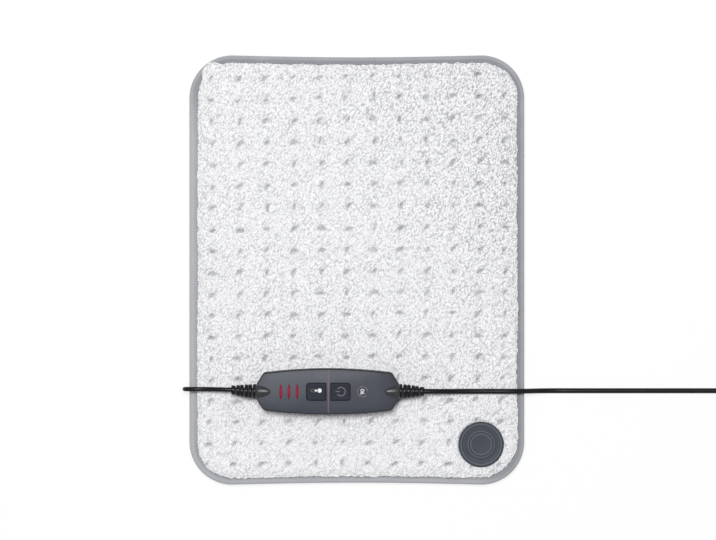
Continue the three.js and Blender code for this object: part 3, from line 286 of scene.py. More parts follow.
def joining_edges(work, verts):
    """The edges between points of a ring."""
    return [work.edges.get(pair) for pair in zip(verts, verts[1:] + verts[:1])]


def ringed(rings, closed=False):
    """A bmesh swept through rings of points with one count, with its ends closed or joined."""
    work = bmesh.new()
    verts = [work.verts.new(Vector(p) * MM) for p in rings[0]]
    first = verts
    edges = [work.edges.new(pair) for pair in zip(verts, verts[1:] + verts[:1])]
    for ring in rings[1:]:
        made = bmesh.ops.extrude_edge_only(work, edges=edges)["geom"]
        fresh = {v for v in made if isinstance(v, bmesh.types.BMVert)}
        following = []
        for old, place in zip(verts, ring):
            new = next(e.other_vert(old) for e in old.link_edges if e.other_vert(old) in fresh)
            new.co = Vector(place) * MM
            following.append(new)
        verts = following
        edges = joining_edges(work, verts)
    if closed:
        bmesh.ops.bridge_loops(work, edges=joining_edges(work, first) + edges)
    else:
        work.faces.new(first)
        work.faces.new(verts)
    bmesh.ops.recalc_face_normals(work, faces=work.faces)
    return work


def spun(profile, steps):
    """A bmesh turned about the Z axis from pairs of radius and height."""
    work = bmesh.new()
    verts = [work.verts.new((radius * MM, 0, z * MM)) for radius, z in profile]
    edges = [work.edges.new(pair) for pair in zip(verts, verts[1:])]
    bmesh.ops.spin(
        work, geom=verts + edges, cent=(0, 0, 0), axis=(0, 0, 1), angle=2 * math.pi,
        steps=steps, use_merge=True,
    )
    bmesh.ops.remove_doubles(work, verts=work.verts, dist=1e-6)
    bmesh.ops.recalc_face_normals(work, faces=work.faces)
    return work


def placed(work, x, y, z, turn=Matrix()):
    """Turns a bmesh about the origin, then moves it to a place in millimetres."""
    matrix = Matrix.Translation(Vector((x, y, z)) * MM) @ turn
    bmesh.ops.transform(work, matrix=matrix, verts=work.verts)
    return work


def joined(*works):
    """One bmesh with the geometry of several."""
    whole = bmesh.new()
    for work in works:
        mesh = bpy.data.meshes.new("part")
        work.to_mesh(mesh)
        work.free()
        whole.from_mesh(mesh)
        bpy.data.meshes.remove(mesh)
    return whole


def rod(radius, bottom, top, x=0, y=0, sides=24):
    """An upright round bar."""
    work = bmesh.new()
    bmesh.ops.create_cone(
        work, cap_ends=True, segments=sides, radius1=radius * MM, radius2=radius * MM,
        depth=(top - bottom) * MM,
    )
    return placed(work, x, y, (top + bottom) / 2)


def round_off(work, edges, radius, segments=3):
    bmesh.ops.bevel(
        work, geom=edges, offset=radius * MM, segments=segments, affect="EDGES", profile=0.5,
        material=-1,
    )


def slab(width, depth, bottom, top, x, y, radius=0, segments=3):
    """A block, with its edges rounded where asked."""
    work = bmesh.new()
    bmesh.ops.create_cube(work, size=1)
    size = Vector((width, depth, top - bottom)) * MM
    bmesh.ops.scale(work, vec=size, verts=work.verts)
    if radius:
        round_off(work, list(work.edges), radius, segments)
    return placed(work, x, y, (top + bottom) / 2)


def round_curve(name, diameter, sides):
    """An empty curve with a round section."""
    curve = bpy.data.curves.new(name, "CURVE")
    curve.dimensions = "3D"
    curve.bevel_depth = diameter / 2 * MM
    curve.bevel_resolution = sides
    curve.use_fill_caps = True
    return curve


def section(half_width, half_height, power_x, power_y, count, start=0.0):
    """Points round an oval that is the squarer, the smaller its two powers are."""
    points = []
    for k in range(count):
        angle = 2 * math.pi * (k + start) / count
        c, s = math.cos(angle), math.sin(angle)
        x = math.copysign(abs(c) ** power_x, c) * half_width
        points.append((x, math.copysign(abs(s) ** power_y, s) * half_height))
    return points


def quarter_turn(steps):
    """How far in and how far below its top each step of a rounded edge lies, as shares."""
    angles = [math.pi / 2 * k / steps for k in range(steps + 1)]
    return [(1 - math.cos(angle), 1 - math.sin(angle)) for angle in angles]


# Numbers that vary over the cloth


def smooth(share):
    """Eases a share between 0 and 1."""
    share = np.clip(share, 0, 1)
    return share * share * (3 - 2 * share)


def between(table, i, next_i, j, next_j, u, v):
    """A table's value at a share of the way from one column and row to the next."""
    low = table[i, j] * (1 - u) + table[next_i, j] * u
    high = table[i, next_j] * (1 - u) + table[next_i, next_j] * u
    return low * (1 - v) + high * v


def drift(x, y, size, seed):
    """Smooth noise from -1 to 1, whose hills are about a size apart."""
    count = 256
    table = np.random.default_rng(seed).uniform(-1, 1, (count, count))
    across, along = x / size + count / 4, y / size + count / 4
    i, j = np.floor(across).astype(int), np.floor(along).astype(int)
    u, v = smooth(across - i), smooth(along - j)
    return between(table, i % count, (i + 1) % count, j % count, (j + 1) % count, u, v)


def loops(x, y, size, seed):
    """The pile: each loop's dome height from 0 to 1, and a number of its own."""
    count = 1024
    table = np.random.default_rng(seed).random((count, count, 3))
    across, along = x / size + count / 2, y / size + count / 2
    i, j = np.floor(across).astype(int), np.floor(along).astype(int)
    nearest = np.full(x.shape, 9.0)
    own = np.zeros(x.shape)
    for step_i in (-1, 0, 1):
        for step_j in (-1, 0, 1):
            seat = table[(i + step_i) % count, (j + step_j) % count]
            distance = np.hypot(i + step_i + seat[..., 0] - across, j + step_j + seat[..., 1] - along)
            own = np.where(distance < nearest, seat[..., 2], own)
            nearest = np.minimum(nearest, distance)
    return np.sqrt(np.clip(1 - (nearest / 0.95) ** 2, 0, 1)), own


def fit_outline(across, along, inset):
    """Takes points of a square from -1 to 1 into the pad's outline, drawn in by an inset."""
    half_width = PAD_WIDTH / 2 - inset
    half_length = PAD_LENGTH / 2 - inset
    radius = np.maximum(CORNER_RADIUS - inset, CORNER_RADIUS / 4)
    x, y = across * half_width, along * half_length
    s = np.clip((np.abs(x) - half_width + radius) / radius, 0, 1)
    t = np.clip((np.abs(y) - half_length + radius) / radius, 0, 1)
    x = x - np.sign(x) * radius * s * (1 - np.sqrt(1 - t * t / 2))
    y = y - np.sign(y) * radius * t * (1 - np.sqrt(1 - s * s / 2))
    dip = END_DIP * np.cos(np.clip(np.abs(x) / (half_width - radius), 0, 1) * math.pi / 2)
    return x, y - np.sign(y) * dip * along ** 4


def edge_distance(x, y):
    """How far points of the pad lie from its outline."""
    middle = PAD_WIDTH / 2 - CORNER_RADIUS
    dip = END_DIP * np.cos(np.clip(np.abs(x) / middle, 0, 1) * math.pi / 2)
    over_x = np.abs(x) - middle
    over_y = np.abs(y) + dip - (PAD_LENGTH / 2 - CORNER_RADIUS)
    outside = np.hypot(np.maximum(over_x, 0), np.maximum(over_y, 0))
    return CORNER_RADIUS - outside - np.minimum(np.maximum(over_x, over_y), 0)


def edge_run(count):
    """Places an even distance apart round the pad's edge, the way out at each, and its length."""
    quarter = np.linspace(0, math.pi / 2, 60)
    middle_x, middle_y = PAD_WIDTH / 2 - CORNER_RADIUS, PAD_LENGTH / 2 - CORNER_RADIUS
    xs, ys = [], []
    for k, (sx, sy) in enumerate([(1, 1), (-1, 1), (-1, -1), (1, -1)]):
        angle = quarter + k * math.pi / 2
        xs.append(sx * middle_x + CORNER_RADIUS * np.cos(angle))
        ys.append(sy * middle_y + CORNER_RADIUS * np.sin(angle))
        if k % 2 == 0:
            side = sx * middle_x * np.linspace(1, -1, 80)[1:-1]
            dip = END_DIP * np.cos(side / middle_x * math.pi / 2)
            xs.append(side)
            ys.append(sy * (PAD_LENGTH / 2 - dip))
    x, y = np.concatenate(xs), np.concatenate(ys)
    x, y = np.append(x, x[0]), np.append(y, y[0])
    length = np.append(0, np.cumsum(np.hypot(np.diff(x), np.diff(y))))
    at = np.linspace(0, length[-1], count, endpoint=False)
    x, y = np.interp(at, length, x), np.interp(at, length, y)
    way_x = np.roll(y, -2) - np.roll(y, 2)
    way_y = np.roll(x, 2) - np.roll(x, -2)
    size = np.hypot(way_x, way_y)
    return x, y, way_x / size, way_y / size, length[-1]


def edge_length():
    return edge_run(2000)[4]


def cell_counts(inset, cell):
    """How many columns and rows of cells the pad takes inside an inset."""
    return [round((side - 2 * inset) / cell) for side in (PAD_WIDTH, PAD_LENGTH)]


def tuft_place(i, j):
    """Where a tuft of one column and row lies: the rows and columns bow a little."""
    a, b = i + 0.5 - TUFT_COLUMNS / 2, j + 0.5 - TUFT_ROWS / 2
    x = TUFT_ACROSS * a + 3.6 + 0.21 * b - 0.055 * a * a - 0.044 * b * b
    y = TUFT_ALONG * b - 0.6 + 0.25 * a + 0.023 * a * b - 0.026 * a * a + 0.016 * b * b
    return x, y


def tufts(x, y):
    """How far each point is drawn down by the tufts, and how much of a tuft it is.

    Five random numbers of its own shift, turn, bend, deepen and lengthen each tuft a little.
    """
    table = np.random.default_rng(11).uniform(-1, 1, (TUFT_COLUMNS + 4, TUFT_ROWS + 4, 5))
    column = np.round(x / TUFT_ACROSS + TUFT_COLUMNS / 2 - 0.5).astype(int)
    row = np.round(y / TUFT_ALONG + TUFT_ROWS / 2 - 0.5).astype(int)
    drawn = np.zeros(x.shape)
    mark = np.zeros(x.shape)
    for step_i in (-1, 0, 1):
        for step_j in (-1, 0, 1):
            i = np.clip(column + step_i, -2, TUFT_COLUMNS + 1)
            j = np.clip(row + step_j, -2, TUFT_ROWS + 1)
            own = table[i, j]
            there = (i >= 0) & (i < TUFT_COLUMNS) & (j >= 0) & (j < TUFT_ROWS)
            place_x, place_y = tuft_place(i, j)
            dx, dy = x - place_x - 0.9 * own[..., 0], y - place_y - 0.8 * own[..., 1]
            lean = TUFT_LEAN + 0.75 * own[..., 2]
            u = dx * np.cos(lean) + dy * np.sin(lean)
            v = dy * np.cos(lean) - dx * np.sin(lean) + (0.07 + 0.06 * own[..., 3]) * u * u
            length = TUFT_LENGTH + 1.2 * own[..., 4]
            width = np.where(v > 0, *TUFT_WIDTHS) * (1 - 0.2 * own[..., 2])
            pit = np.exp(-((u / length) ** 2) - (v / width) ** 2) * there
            dimple = np.exp(-(dx * dx + dy * dy) / DIMPLE_SPREAD) * there
            drawn += (TUFT_DEPTH + 0.5 * own[..., 3]) * pit + DIMPLE_DEPTH * dimple
            mark += pit
    return drawn, smooth((mark - 0.15) / 0.7)


def pile_loops(x, y, size):
    """The terry's pile: loops drawn out this way and that, with small ones between them."""
    bent_x = x + 1.6 * drift(x, y, 5, 7)
    bent_y = y + 1.6 * drift(x, y, 5, 8)
    across = (bent_x * math.cos(NAP) + bent_y * math.sin(NAP)) / NAP_STRETCH
    along = bent_y * math.cos(NAP) - bent_x * math.sin(NAP)
    large, own = loops(across, along, size, 5)
    small, _ = loops(across, along, size * 0.6, 6)
    return large * (0.45 + 0.55 * own) * 0.78 + small * 0.22


def plain_level(inside):
    """Height of the front's cloth at a distance from the pad's edge, before it puffs up."""
    share = np.clip((inside - TOP_SLOPE_START) / TOP_SLOPE, 0, 1)
    low, high = BINDING_TOP + 0.2, PAD_TOP - 1.25
    return low + (high - low) * (1 - (1 - share) ** 2.6)


def puffed_sheet(inset):
    """How high a sheet that the tufts and the edge hold down is lifted, by cloth simulation."""
    columns, rows = cell_counts(inset, CLOTH_CELL)
    sheet = own_mesh("front_sheet", square(columns, rows))
    points = mesh_points(sheet.data)
    i = np.round((points[:, 0] + 1) / 2 * columns).astype(int)
    j = np.round((points[:, 1] + 1) / 2 * rows).astype(int)
    x, y = fit_outline(points[:, 0], points[:, 1], inset)
    flat = plain_level(edge_distance(x, y))
    move_points(sheet.data, x, y, flat)
    edge = (i == 0) | (j == 0) | (i == columns) | (j == rows)
    column, row = np.meshgrid(np.arange(TUFT_COLUMNS), np.arange(TUFT_ROWS))
    tuft_x, tuft_y = tuft_place(column.ravel(), row.ravel())
    apart = np.hypot(x[:, None] - tuft_x[None, :], y[:, None] - tuft_y[None, :])
    tuft = apart.min(axis=1) < CLOTH_CELL * 0.72
    held = edge | tuft | (cap_distance(x, y) < CAP_RADIUS)
    group = sheet.vertex_groups.new(name="held")
    group.add(np.nonzero(held)[0].tolist(), 1.0, "REPLACE")
    cloth = sheet.modifiers.new("cloth", "CLOTH")
    for name, value in CLOTH_SETTINGS.items():
        setattr(cloth.settings, name, value)
    cloth.settings.effector_weights.gravity = 0
    cloth.point_cache.frame_end = CLOTH_FRAMES
    for frame_number in range(1, CLOTH_FRAMES + 1):
        bpy.context.scene.frame_set(frame_number)
    settle(sheet)
    bpy.context.scene.frame_set(1)
    lifted = mesh_points(sheet.data)[:, 2] / MM - flat
    height = np.zeros((columns + 1, rows + 1))
    height[i, j] = np.clip(lifted, -0.3, 1.3)
    remove(sheet)
    return height


def read_grid(grid, across, along):
    """Reads a grid that spans a square from -1 to 1, between its points."""
    columns, rows = grid.shape[0] - 1, grid.shape[1] - 1
    u, v = (across + 1) / 2 * columns, (along + 1) / 2 * rows
    i = np.clip(np.floor(u).astype(int), 0, columns - 1)
    j = np.clip(np.floor(v).astype(int), 0, rows - 1)
    return between(grid, i, i + 1, j, j + 1, u - i, v - j)


def cap_distance(x, y):
    return np.hypot(x - ENTRY_X, y - ENTRY_Y)


def route_distance(x, y, points):
    """How far points lie from a route seen from above."""
    nearest = np.full(x.shape, 1e9)
    for (ax, ay, _), (bx, by, _) in zip(points, points[1:]):
        dx, dy = bx - ax, by - ay
        share = np.clip(((x - ax) * dx + (y - ay) * dy) / (dx * dx + dy * dy), 0, 1)
        nearest = np.minimum(nearest, np.hypot(x - ax - share * dx, y - ay - share * dy))
    return nearest


def mesh_points(mesh):
    points = np.zeros(len(mesh.vertices) * 3)
    mesh.vertices.foreach_get("co", points)
    return points.reshape(-1, 3)


def move_points(mesh, x, y, z):
    mesh.vertices.foreach_set("co", (np.stack([x, y, z], 1) * MM).ravel())
    mesh.update()


def note(mesh, name, values):
    """Keeps a number at each point of a mesh for its finish to read."""
    kept = mesh.attributes.new(name, "FLOAT", "POINT")
    kept.data.foreach_set("value", np.asarray(values, np.float32))


def square(columns, rows):
    """A bmesh grid from -1 to 1 both ways at height 0."""
    work = bmesh.new()
    bmesh.ops.create_grid(work, x_segments=columns, y_segments=rows, size=1)
    return work


def open_round(work, radius, inset):
    """Leaves out the cells of a grid that lie over the lead entry."""
    faces = list(work.faces)
    middles = np.array([face.calc_center_median()[:2] for face in faces])
    x, y = fit_outline(middles[:, 0], middles[:, 1], inset)
    gone = [faces[k] for k in np.nonzero(cap_distance(x, y) < radius)[0]]
    bmesh.ops.delete(work, geom=gone, context="FACES")


def drop_rims(work, count):
    """Extrudes a grid's open edges a number of times; each rim's height is minus its number."""
    edges = [e for e in work.edges if e.is_boundary]
    for number in range(1, count + 1):
        made = bmesh.ops.extrude_edge_only(work, edges=edges)["geom"]
        for part in made:
            if isinstance(part, bmesh.types.BMVert):
                part.co.z = -number
        edges = [e for e in made if isinstance(e, bmesh.types.BMEdge) and e.is_boundary]
    return edges


# Finishes


class Value:
    """A node's output, on which plain arithmetic adds Math nodes."""

    def __init__(self, paint, socket):
        self.paint = paint
        self.socket = socket

    def __add__(self, other):
        return self.paint.math("ADD", self, other)

    def __sub__(self, other):
        return self.paint.math("SUBTRACT", self, other)

    def __rsub__(self, other):
        return self.paint.math("SUBTRACT", other, self)

    def __mul__(self, other):
        return self.paint.math("MULTIPLY", self, other)

    def __truediv__(self, other):
        return self.paint.math("DIVIDE", self, other)

    def __abs__(self):
        return self.paint.math("ABSOLUTE", self, 0)

    __radd__ = __add__
    __rmul__ = __mul__


class Nodes:
    """A node tree on which nodes are made and fed."""

    def __init__(self, tree):
        self.tree = tree

    def node(self, kind, inputs=None, output=0, **settings):
        made = self.tree.nodes.new(kind)
        for key, value in settings.items():
            setattr(made, key, value)
        for key, value in (inputs or {}).items():
            self.feed(made.inputs[key], value)
        return Value(self, made.outputs[output])

    def feed(self, socket, value):
        if isinstance(value, Value):
            self.tree.links.new(value.socket, socket)
        else:
            socket.default_value = value

    def math(self, operation, *values):
        return self.node("ShaderNodeMath", dict(enumerate(values)), operation=operation)

    def seen_plainly(self):
        """1 where the eye meets something directly, in a reflection or through glass."""
        rays = ["Is Camera Ray", "Is Glossy Ray", "Is Transmission Ray"]
        camera, glossy, through = (self.node("ShaderNodeLightPath", output=ray) for ray in rays)
        return self.math("MAXIMUM", camera, self.math("MAXIMUM", glossy, through))


class Paint(Nodes):
    """A finish: a Principled shader, and the nodes that vary its colour, roughness and relief."""

    def __init__(self, name, colour, roughness, **fixed):
        self.material = bpy.data.materials.new(name)
        self.material.use_nodes = True
        super().__init__(self.material.node_tree)
        self.tree.nodes.clear()
        self.shader = self.tree.nodes.new("ShaderNodeBsdfPrincipled")
        self.output = self.tree.nodes.new("ShaderNodeOutputMaterial")
        self.tree.links.new(self.shader.outputs[0], self.output.inputs[0])
        self.shader.inputs["Base Color"].default_value = (*colour, 1)
        self.shader.inputs["Roughness"].default_value = roughness
        for socket, value in fixed.items():
            self.shader.inputs[socket.replace("_", " ")].default_value = value

    def place(self):
        """The place on the piece, in metres."""
        return self.node("ShaderNodeTexCoord", output="Object")

    def along(self):
        """The piece's own UV map, in metres along and across it."""
        return self.node("ShaderNodeUVMap", uv_map="cloth")

    def stretch(self, vector, scale):
        return self.node("ShaderNodeMapping", {"Vector": vector, "Scale": scale})

    def turned(self, vector, angle):
        return self.node("ShaderNodeMapping", {"Vector": vector, "Rotation": (0, 0, angle)})

    def part(self, vector, axis):
        return self.node("ShaderNodeSeparateXYZ", {0: vector}, output=axis)

    def noise(self, size, vector=None, detail=3.0, roughness=0.55):
        """Noise whose grains are about a size in millimetres."""
        inputs = {"Scale": 1 / (size * MM), "Detail": detail, "Roughness": roughness}
        inputs["Vector"] = vector or self.place()
        return self.node("ShaderNodeTexNoise", inputs)

    def cells(self, size, vector, **settings):
        inputs = {"Scale": 1 / (size * MM), "Vector": vector}
        return self.node("ShaderNodeTexVoronoi", inputs, **settings)

    def bend(self, vector, size, amount):
        """Shifts a place by noise, so that a pattern on it wanders."""
        inputs = {"Scale": 1 / (size * MM), "Detail": 1.0, "Vector": vector}
        noise = self.node("ShaderNodeTexNoise", inputs, output="Color")
        shift = self.node("ShaderNodeVectorMath", {0: noise, 1: (0.5, 0.5, 0.5)}, operation="SUBTRACT")
        moved = self.node("ShaderNodeVectorMath", {0: shift, "Scale": amount * MM}, operation="SCALE")
        return self.node("ShaderNodeVectorMath", {0: vector, 1: moved}, operation="ADD")

    def wave(self, value, period):
        """A smooth wave from 0 to 1 of a value in metres."""
        return self.math("SINE", value * (2 * math.pi / (period * MM))) * 0.5 + 0.5

    def step(self, value, start, end):
        """Goes smoothly from 0 to 1 as a value goes from a start to an end, up or down."""
        inputs = {"Value": value, "From Min": start, "From Max": end}
        return self.node("ShaderNodeMapRange", inputs, interpolation_type="SMOOTHSTEP")

    def blend(self, share, first, second):
        """A colour between two, each plain or from a node."""
        inputs = {0: share, 6: self.rgba(first), 7: self.rgba(second)}
        return self.node("ShaderNodeMix", inputs, output=2, data_type="RGBA")

    def rgba(self, colour):
        return colour if isinstance(colour, Value) else (*colour[:3], 1)

    def noted(self, name):
        """A number that the mesh keeps at each point."""
        return self.node("ShaderNodeAttribute", output="Fac", attribute_name=name)

    def vary(self, colour, roughness=None, height=None, depth=0.1, strength=1.0):
        """Feeds the shader's colour, and its roughness and relief where they are given."""
        self.feed(self.shader.inputs["Base Color"], colour)
        if roughness is not None:
            self.feed(self.shader.inputs["Roughness"], roughness)
        if height is not None:
            inputs = {"Height": height, "Distance": depth * MM, "Strength": strength}
            self.feed(self.shader.inputs["Normal"], self.node("ShaderNodeBump", inputs))
        return self.material


def tone(red, green, blue):
    """A colour as it shows on a screen, from 0 to 255, as the light it stands for."""
    shares = [c / 255 for c in (red, green, blue)]
    return tuple(c / 12.92 if c < 0.04045 else ((c + 0.055) / 1.055) ** 2.4 for c in shares)


def shaded(colour, *shares):
    """A colour times one share, or times one for each of red, green and blue."""
    return tuple(c * share for c, share in zip(colour, shares * (3 // len(shares))))


def terry_finish(colour, shade):
    """White pile: painted shade between its loops and in the tufts, with fine fibres over it."""
    paint = Paint("terry", colour, 0.95, Sheen_Weight=0.1, Sheen_Roughness=0.5, Specular_IOR_Level=0.1)
    pile = paint.noted("pile")
    tuft = paint.noted("tuft")
    at = paint.place()
    bent = paint.bend(at, 5.0, 4.0)
    curl = paint.cells(1.5, paint.stretch(paint.turned(bent, -NAP), (1 / NAP_STRETCH, 1, 1)))
    fibre = paint.noise(0.5, detail=2.0)
    patch = paint.noise(26, detail=2.0)
    # Painted shade between the loops, where the pile dips
    painted_gap_shade = paint.step(pile, 0.62, 0.05) * 0.3 + paint.step(curl, 0.3, 0.85) * 0.5
    x, y = paint.part(at, 0), paint.part(at, 1)
    # The painted shade between the loops deepens towards the upper right and the right, and fades
    # towards the bottom
    corner = x * 0.7 + y * 0.7
    shady = paint.step(corner, 0.02, 0.22) * 0.35 + paint.step(x, 0.0, 0.14) * 0.08
    painted_gap_shade = painted_gap_shade * (shady + 0.97 - paint.step(y, -0.1, -0.19) * 0.22)
    # The tufts are painted with shade as well
    deep = painted_gap_shade * (1 - tuft * 0.6) + tuft * 0.6
    base = paint.blend(paint.math("MINIMUM", deep, 1.0), colour, shade)
    base = paint.blend(paint.step(patch, 0.35, 0.75) * 0.22, base, shaded(colour, 0.93))
    return paint.vary(base, height=fibre * 0.4 - curl, depth=0.9, strength=0.9)


def woven_finish(name, colour, thread, roughness=0.9):
    """A plain weave whose threads run with the pad."""
    paint = Paint(name, colour, roughness, Sheen_Weight=0.1, Specular_IOR_Level=0.2)
    at = paint.place()
    across, along = paint.part(at, 0), paint.part(at, 1)
    weft, warp = paint.wave(across, 2 * thread), paint.wave(along, 2 * thread)
    over, under = weft * warp, (1 - weft) * (1 - warp)
    slub = paint.noise(9, paint.stretch(at, (1, 6, 1)))
    base = paint.blend(paint.step(slub, 0.3, 0.75) * 0.5, shaded(colour, 0.9), colour)
    base = paint.blend((over + under) * 0.35, shaded(colour, 0.82), base)
    return paint.vary(base, height=over + under + slub * 0.5, depth=thread * 0.3)


def binding_finish(colour):
    """A ribbed tape: ribs across it, darker towards the top and the right side, and a painted bluish
    shade where it dips to the pile.
    """
    paint = Paint("binding", colour, 0.75, Sheen_Weight=0.12, Specular_IOR_Level=0.3)
    way = paint.along()
    along, across = paint.part(way, 0), paint.part(way, 1)
    thread = paint.wave(along, 0.5)
    rib = paint.noted("rib")
    soil_and_shade_edge = paint.noise(14)
    at = paint.place()
    x, y = paint.part(at, 0), paint.part(at, 1)
    side, top, bottom = paint.step(x, 0.1, 0.15), paint.step(y, 0.12, 0.19), paint.step(y, -0.12, -0.19)
    far = paint.math("MAXIMUM", top, side * 0.8)
    base = paint.blend(far * 0.85, colour, shaded(colour, 0.64))
    base = paint.blend(rib * 0.8, shaded(colour, 0.66), base)
    base = paint.blend(paint.step(soil_and_shade_edge, 0.4, 0.8) * 0.3, base, shaded(colour, 0.85))
    # Painted shade of the pile along the tape's inner edge: strongest on the right side, then at the
    # top, then at the bottom; the same noise as the soil makes its edge wander
    ends = paint.math("MAXIMUM", top * 1.7, bottom)
    strength = paint.math("MAXIMUM", ends * 0.5, side) * 0.6 + 0.25
    inner = across + (soil_and_shade_edge - 0.5) * 0.0016 - paint.math("MAXIMUM", side, top) * 0.0012
    shade = shaded(colour, 0.42, 0.43, 0.45)
    base = paint.blend(paint.step(inner, 0.0064, 0.003) * strength, base, shade)
    return paint.vary(base, height=thread * 0.5 + rib, depth=0.12)


def moulded_finish(name, colour, roughness, shine=0.25, grain=0.35):
    """Moulded plastic with a fine grain."""
    paint = Paint(name, colour, roughness, Specular_IOR_Level=shine)
    fine = paint.noise(grain, detail=2.0)
    cloud = paint.noise(18, detail=2.0)
    base = paint.blend(paint.step(cloud, 0.3, 0.8) * 0.4, colour, shaded(colour, 0.88))
    return paint.vary(base, cloud * 0.12 + (roughness - 0.06), fine, depth=0.02, strength=0.7)


def cover_finish(colour, line, rim, crown):
    """The cover's plastic: a thin line across it at the bridge, a painted highlight towards its upper
    left and painted shade towards its lower right, and a dark rim of painted shade below its face.
    """
    paint = Paint("cover_moulding", colour, 0.52, Specular_IOR_Level=0.2)
    at = paint.place()
    x, y, z = (paint.part(at, axis) for axis in (0, 1, 2))
    fine = paint.noise(0.35, at, detail=2.0)
    cloud = paint.noise(18, at, detail=2.0)
    # Painted light: lighter towards the upper left, and painted shade towards the lower right
    corner = (x - CONTROL_X * MM) * 0.35 - (y - CONTROL_Y * MM) * 1.2 + (cloud - 0.5) * 0.02
    painted_cover_shade = shaded(colour, 0.64, 0.66, 0.76)
    base = paint.blend(paint.step(corner, -0.034, 0.012), shaded(colour, 1.34), painted_cover_shade)
    off_line = abs(x - BRIDGE_X * MM)
    base = paint.blend(paint.step(off_line, 0.00075, 0.0003), base, line)
    # Painted shade on the rim below the face, where the rounding turns away from the light
    beyond = abs(x - CONTROL_X * MM) - (CONTROL_HALF_LENGTH - CONTROL_SLOPE_LENGTH) * MM
    slope = paint.math("MAXIMUM", beyond / (CONTROL_SLOPE_LENGTH * MM), 0)
    fall = paint.math("POWER", slope, 1.5) * (CONTROL_END_FALL * MM)
    across = abs(y - CONTROL_Y * MM) / (CONTROL_HALF_WIDTH * MM)
    level = z + fall + across * across * crown
    shoulder = (CONTROL_TOP - 0.5) * MM
    below = paint.step(level, shoulder + 0.05 * MM, shoulder - 0.15 * MM)
    base = paint.blend(below, base, rim)
    return paint.vary(base, cloud * 0.12 + 0.46, fine, depth=0.02, strength=0.7)


def cap_finish(colour, rings):
    """The round cap's plastic, with painted highlights along its rings."""
    paint = Paint("cap_moulding", colour, 0.48, Specular_IOR_Level=0.14)
    at = paint.place()
    x, y = paint.part(at, 0) - ENTRY_X * MM, paint.part(at, 1) - ENTRY_Y * MM
    from_middle = paint.math("SQRT", x * x + y * y)
    fine = paint.noise(0.5, at, detail=2.0)
    cloud = paint.noise(9, at)
    base = paint.blend(paint.step(cloud, 0.35, 0.75) * 0.5, colour, shaded(colour, 0.82))
    # Painted highlights along the cap's rings
    painted_ring_highlight = tuple(c * 1.9 + 0.03 for c in colour)
    for radius, width, strength in rings:
        line = paint.step(abs(from_middle - radius * MM), width * MM, width * 0.3 * MM)
        base = paint.blend(line * strength, base, painted_ring_highlight)
    return paint.vary(base, cloud * 0.14 + 0.52, fine, depth=0.03, strength=0.8)


def rubber_finish(name, colour):
    """Smooth rubber, scuffed in places."""
    paint = Paint(name, colour, 0.3, Specular_IOR_Level=0.16)
    fine = paint.noise(0.8, detail=2.0)
    scuff = paint.noise(11, detail=4.0)
    base = paint.blend(paint.step(scuff, 0.5, 0.8) * 0.5, colour, tuple(c + 0.012 for c in colour[:3]))
    return paint.vary(base, scuff * 0.1 + 0.24, fine, depth=0.01)


def metal_finish(name, colour):
    """Steel with the marks of turning."""
    paint = Paint(name, colour, 0.3, Metallic=1.0)
    turned = paint.noise(0.5, paint.stretch(paint.place(), (1, 1, 12)))
    base = paint.blend(turned * 0.4, colour, shaded(colour, 0.75))
    return paint.vary(base, turned * 0.2 + 0.22, turned, depth=0.01)


def lamp_finish(name, colour, glow):
    """A coloured lens that may glow a little."""
    paint = Paint(name, colour, 0.3, Emission_Strength=glow, Specular_IOR_Level=0.25)
    paint.shader.inputs["Emission Color"].default_value = (*colour, 1)
    cloud = paint.noise(2.5)
    base = paint.blend(cloud * 0.5, colour, shaded(colour, 0.7))
    return paint.vary(base, cloud * 0.1 + 0.18)


def print_finish(name, colour):
    """Printing ink, and thread."""
    paint = Paint(name, colour, 0.6)
    speck = paint.noise(0.3)
    base = paint.blend(speck * 0.3, colour, shaded(colour, 0.85))
    return paint.vary(base, height=speck, depth=0.01)


def board_finish(name, colour):
    """A circuit board with its tracks."""
    paint = Paint(name, colour, 0.4)
    tracks = paint.cells(2.4, paint.place(), distance="MANHATTAN")
    base = paint.blend(paint.step(tracks, 0.28, 0.32), colour, shaded(colour, 1.7))
    return paint.vary(base, height=tracks, depth=0.03)


def wadding_finish(name, colour):
    """Tangled fibres."""
    paint = Paint(name, colour, 0.95)
    tangle = paint.noise(3, detail=5.0, roughness=0.7)
    base = paint.blend(tangle, shaded(colour, 0.8), colour)
    return paint.vary(base, height=tangle, depth=0.6)


# Settings


def colour_setting(name, description, default):
    return bpy.props.FloatVectorProperty(
        name=name, description=description, default=default, subtype="COLOR", min=0, max=1
    )


def length_setting(name, description, default):
    return bpy.props.FloatProperty(
        name=name, description=description, default=default * MM, unit="LENGTH"
    )


class PadSettings(bpy.types.PropertyGroup):
    pitch: length_setting("Cell", "Distance between the front's points", 0.72)
    loop: length_setting("Loop", "Width of one loop of the pile", 1.9)
    loop_height: length_setting("Loop height", "Height of a loop over its neighbours", 1.35)
    rib: length_setting("Rib", "Distance between the binding's ribs", 1.5)
    terry: colour_setting("Terry", "Colour of the pile's tips", tone(250, 250, 252))
    # The colour of the painted shade deep in the pile and in the tufts
    terry_shade: colour_setting("Terry shade", "Colour deep in the pile", tone(128, 130, 138))
    binding: colour_setting("Binding", "Colour of the bound edge", tone(194, 196, 201))
    back: colour_setting("Back", "Colour of the back cloth", tone(236, 236, 234))


class ControlSettings(bpy.types.PropertyGroup):
    crown: length_setting("Crown", "How far the cover falls away towards its sides", 0.9)
    housing: colour_setting("Housing", "Colour of the housing and the round cap", tone(71, 74, 80))
    key: colour_setting("Key", "Colour of the keys", tone(36, 39, 50))
    line: colour_setting("Line", "Colour of the line across the cover", tone(108, 88, 98))
    bars: colour_setting("Bars", "Colour of the indicator bars", tone(150, 14, 56))
    symbols: colour_setting("Symbols", "Colour of the printed symbols", tone(238, 238, 240))


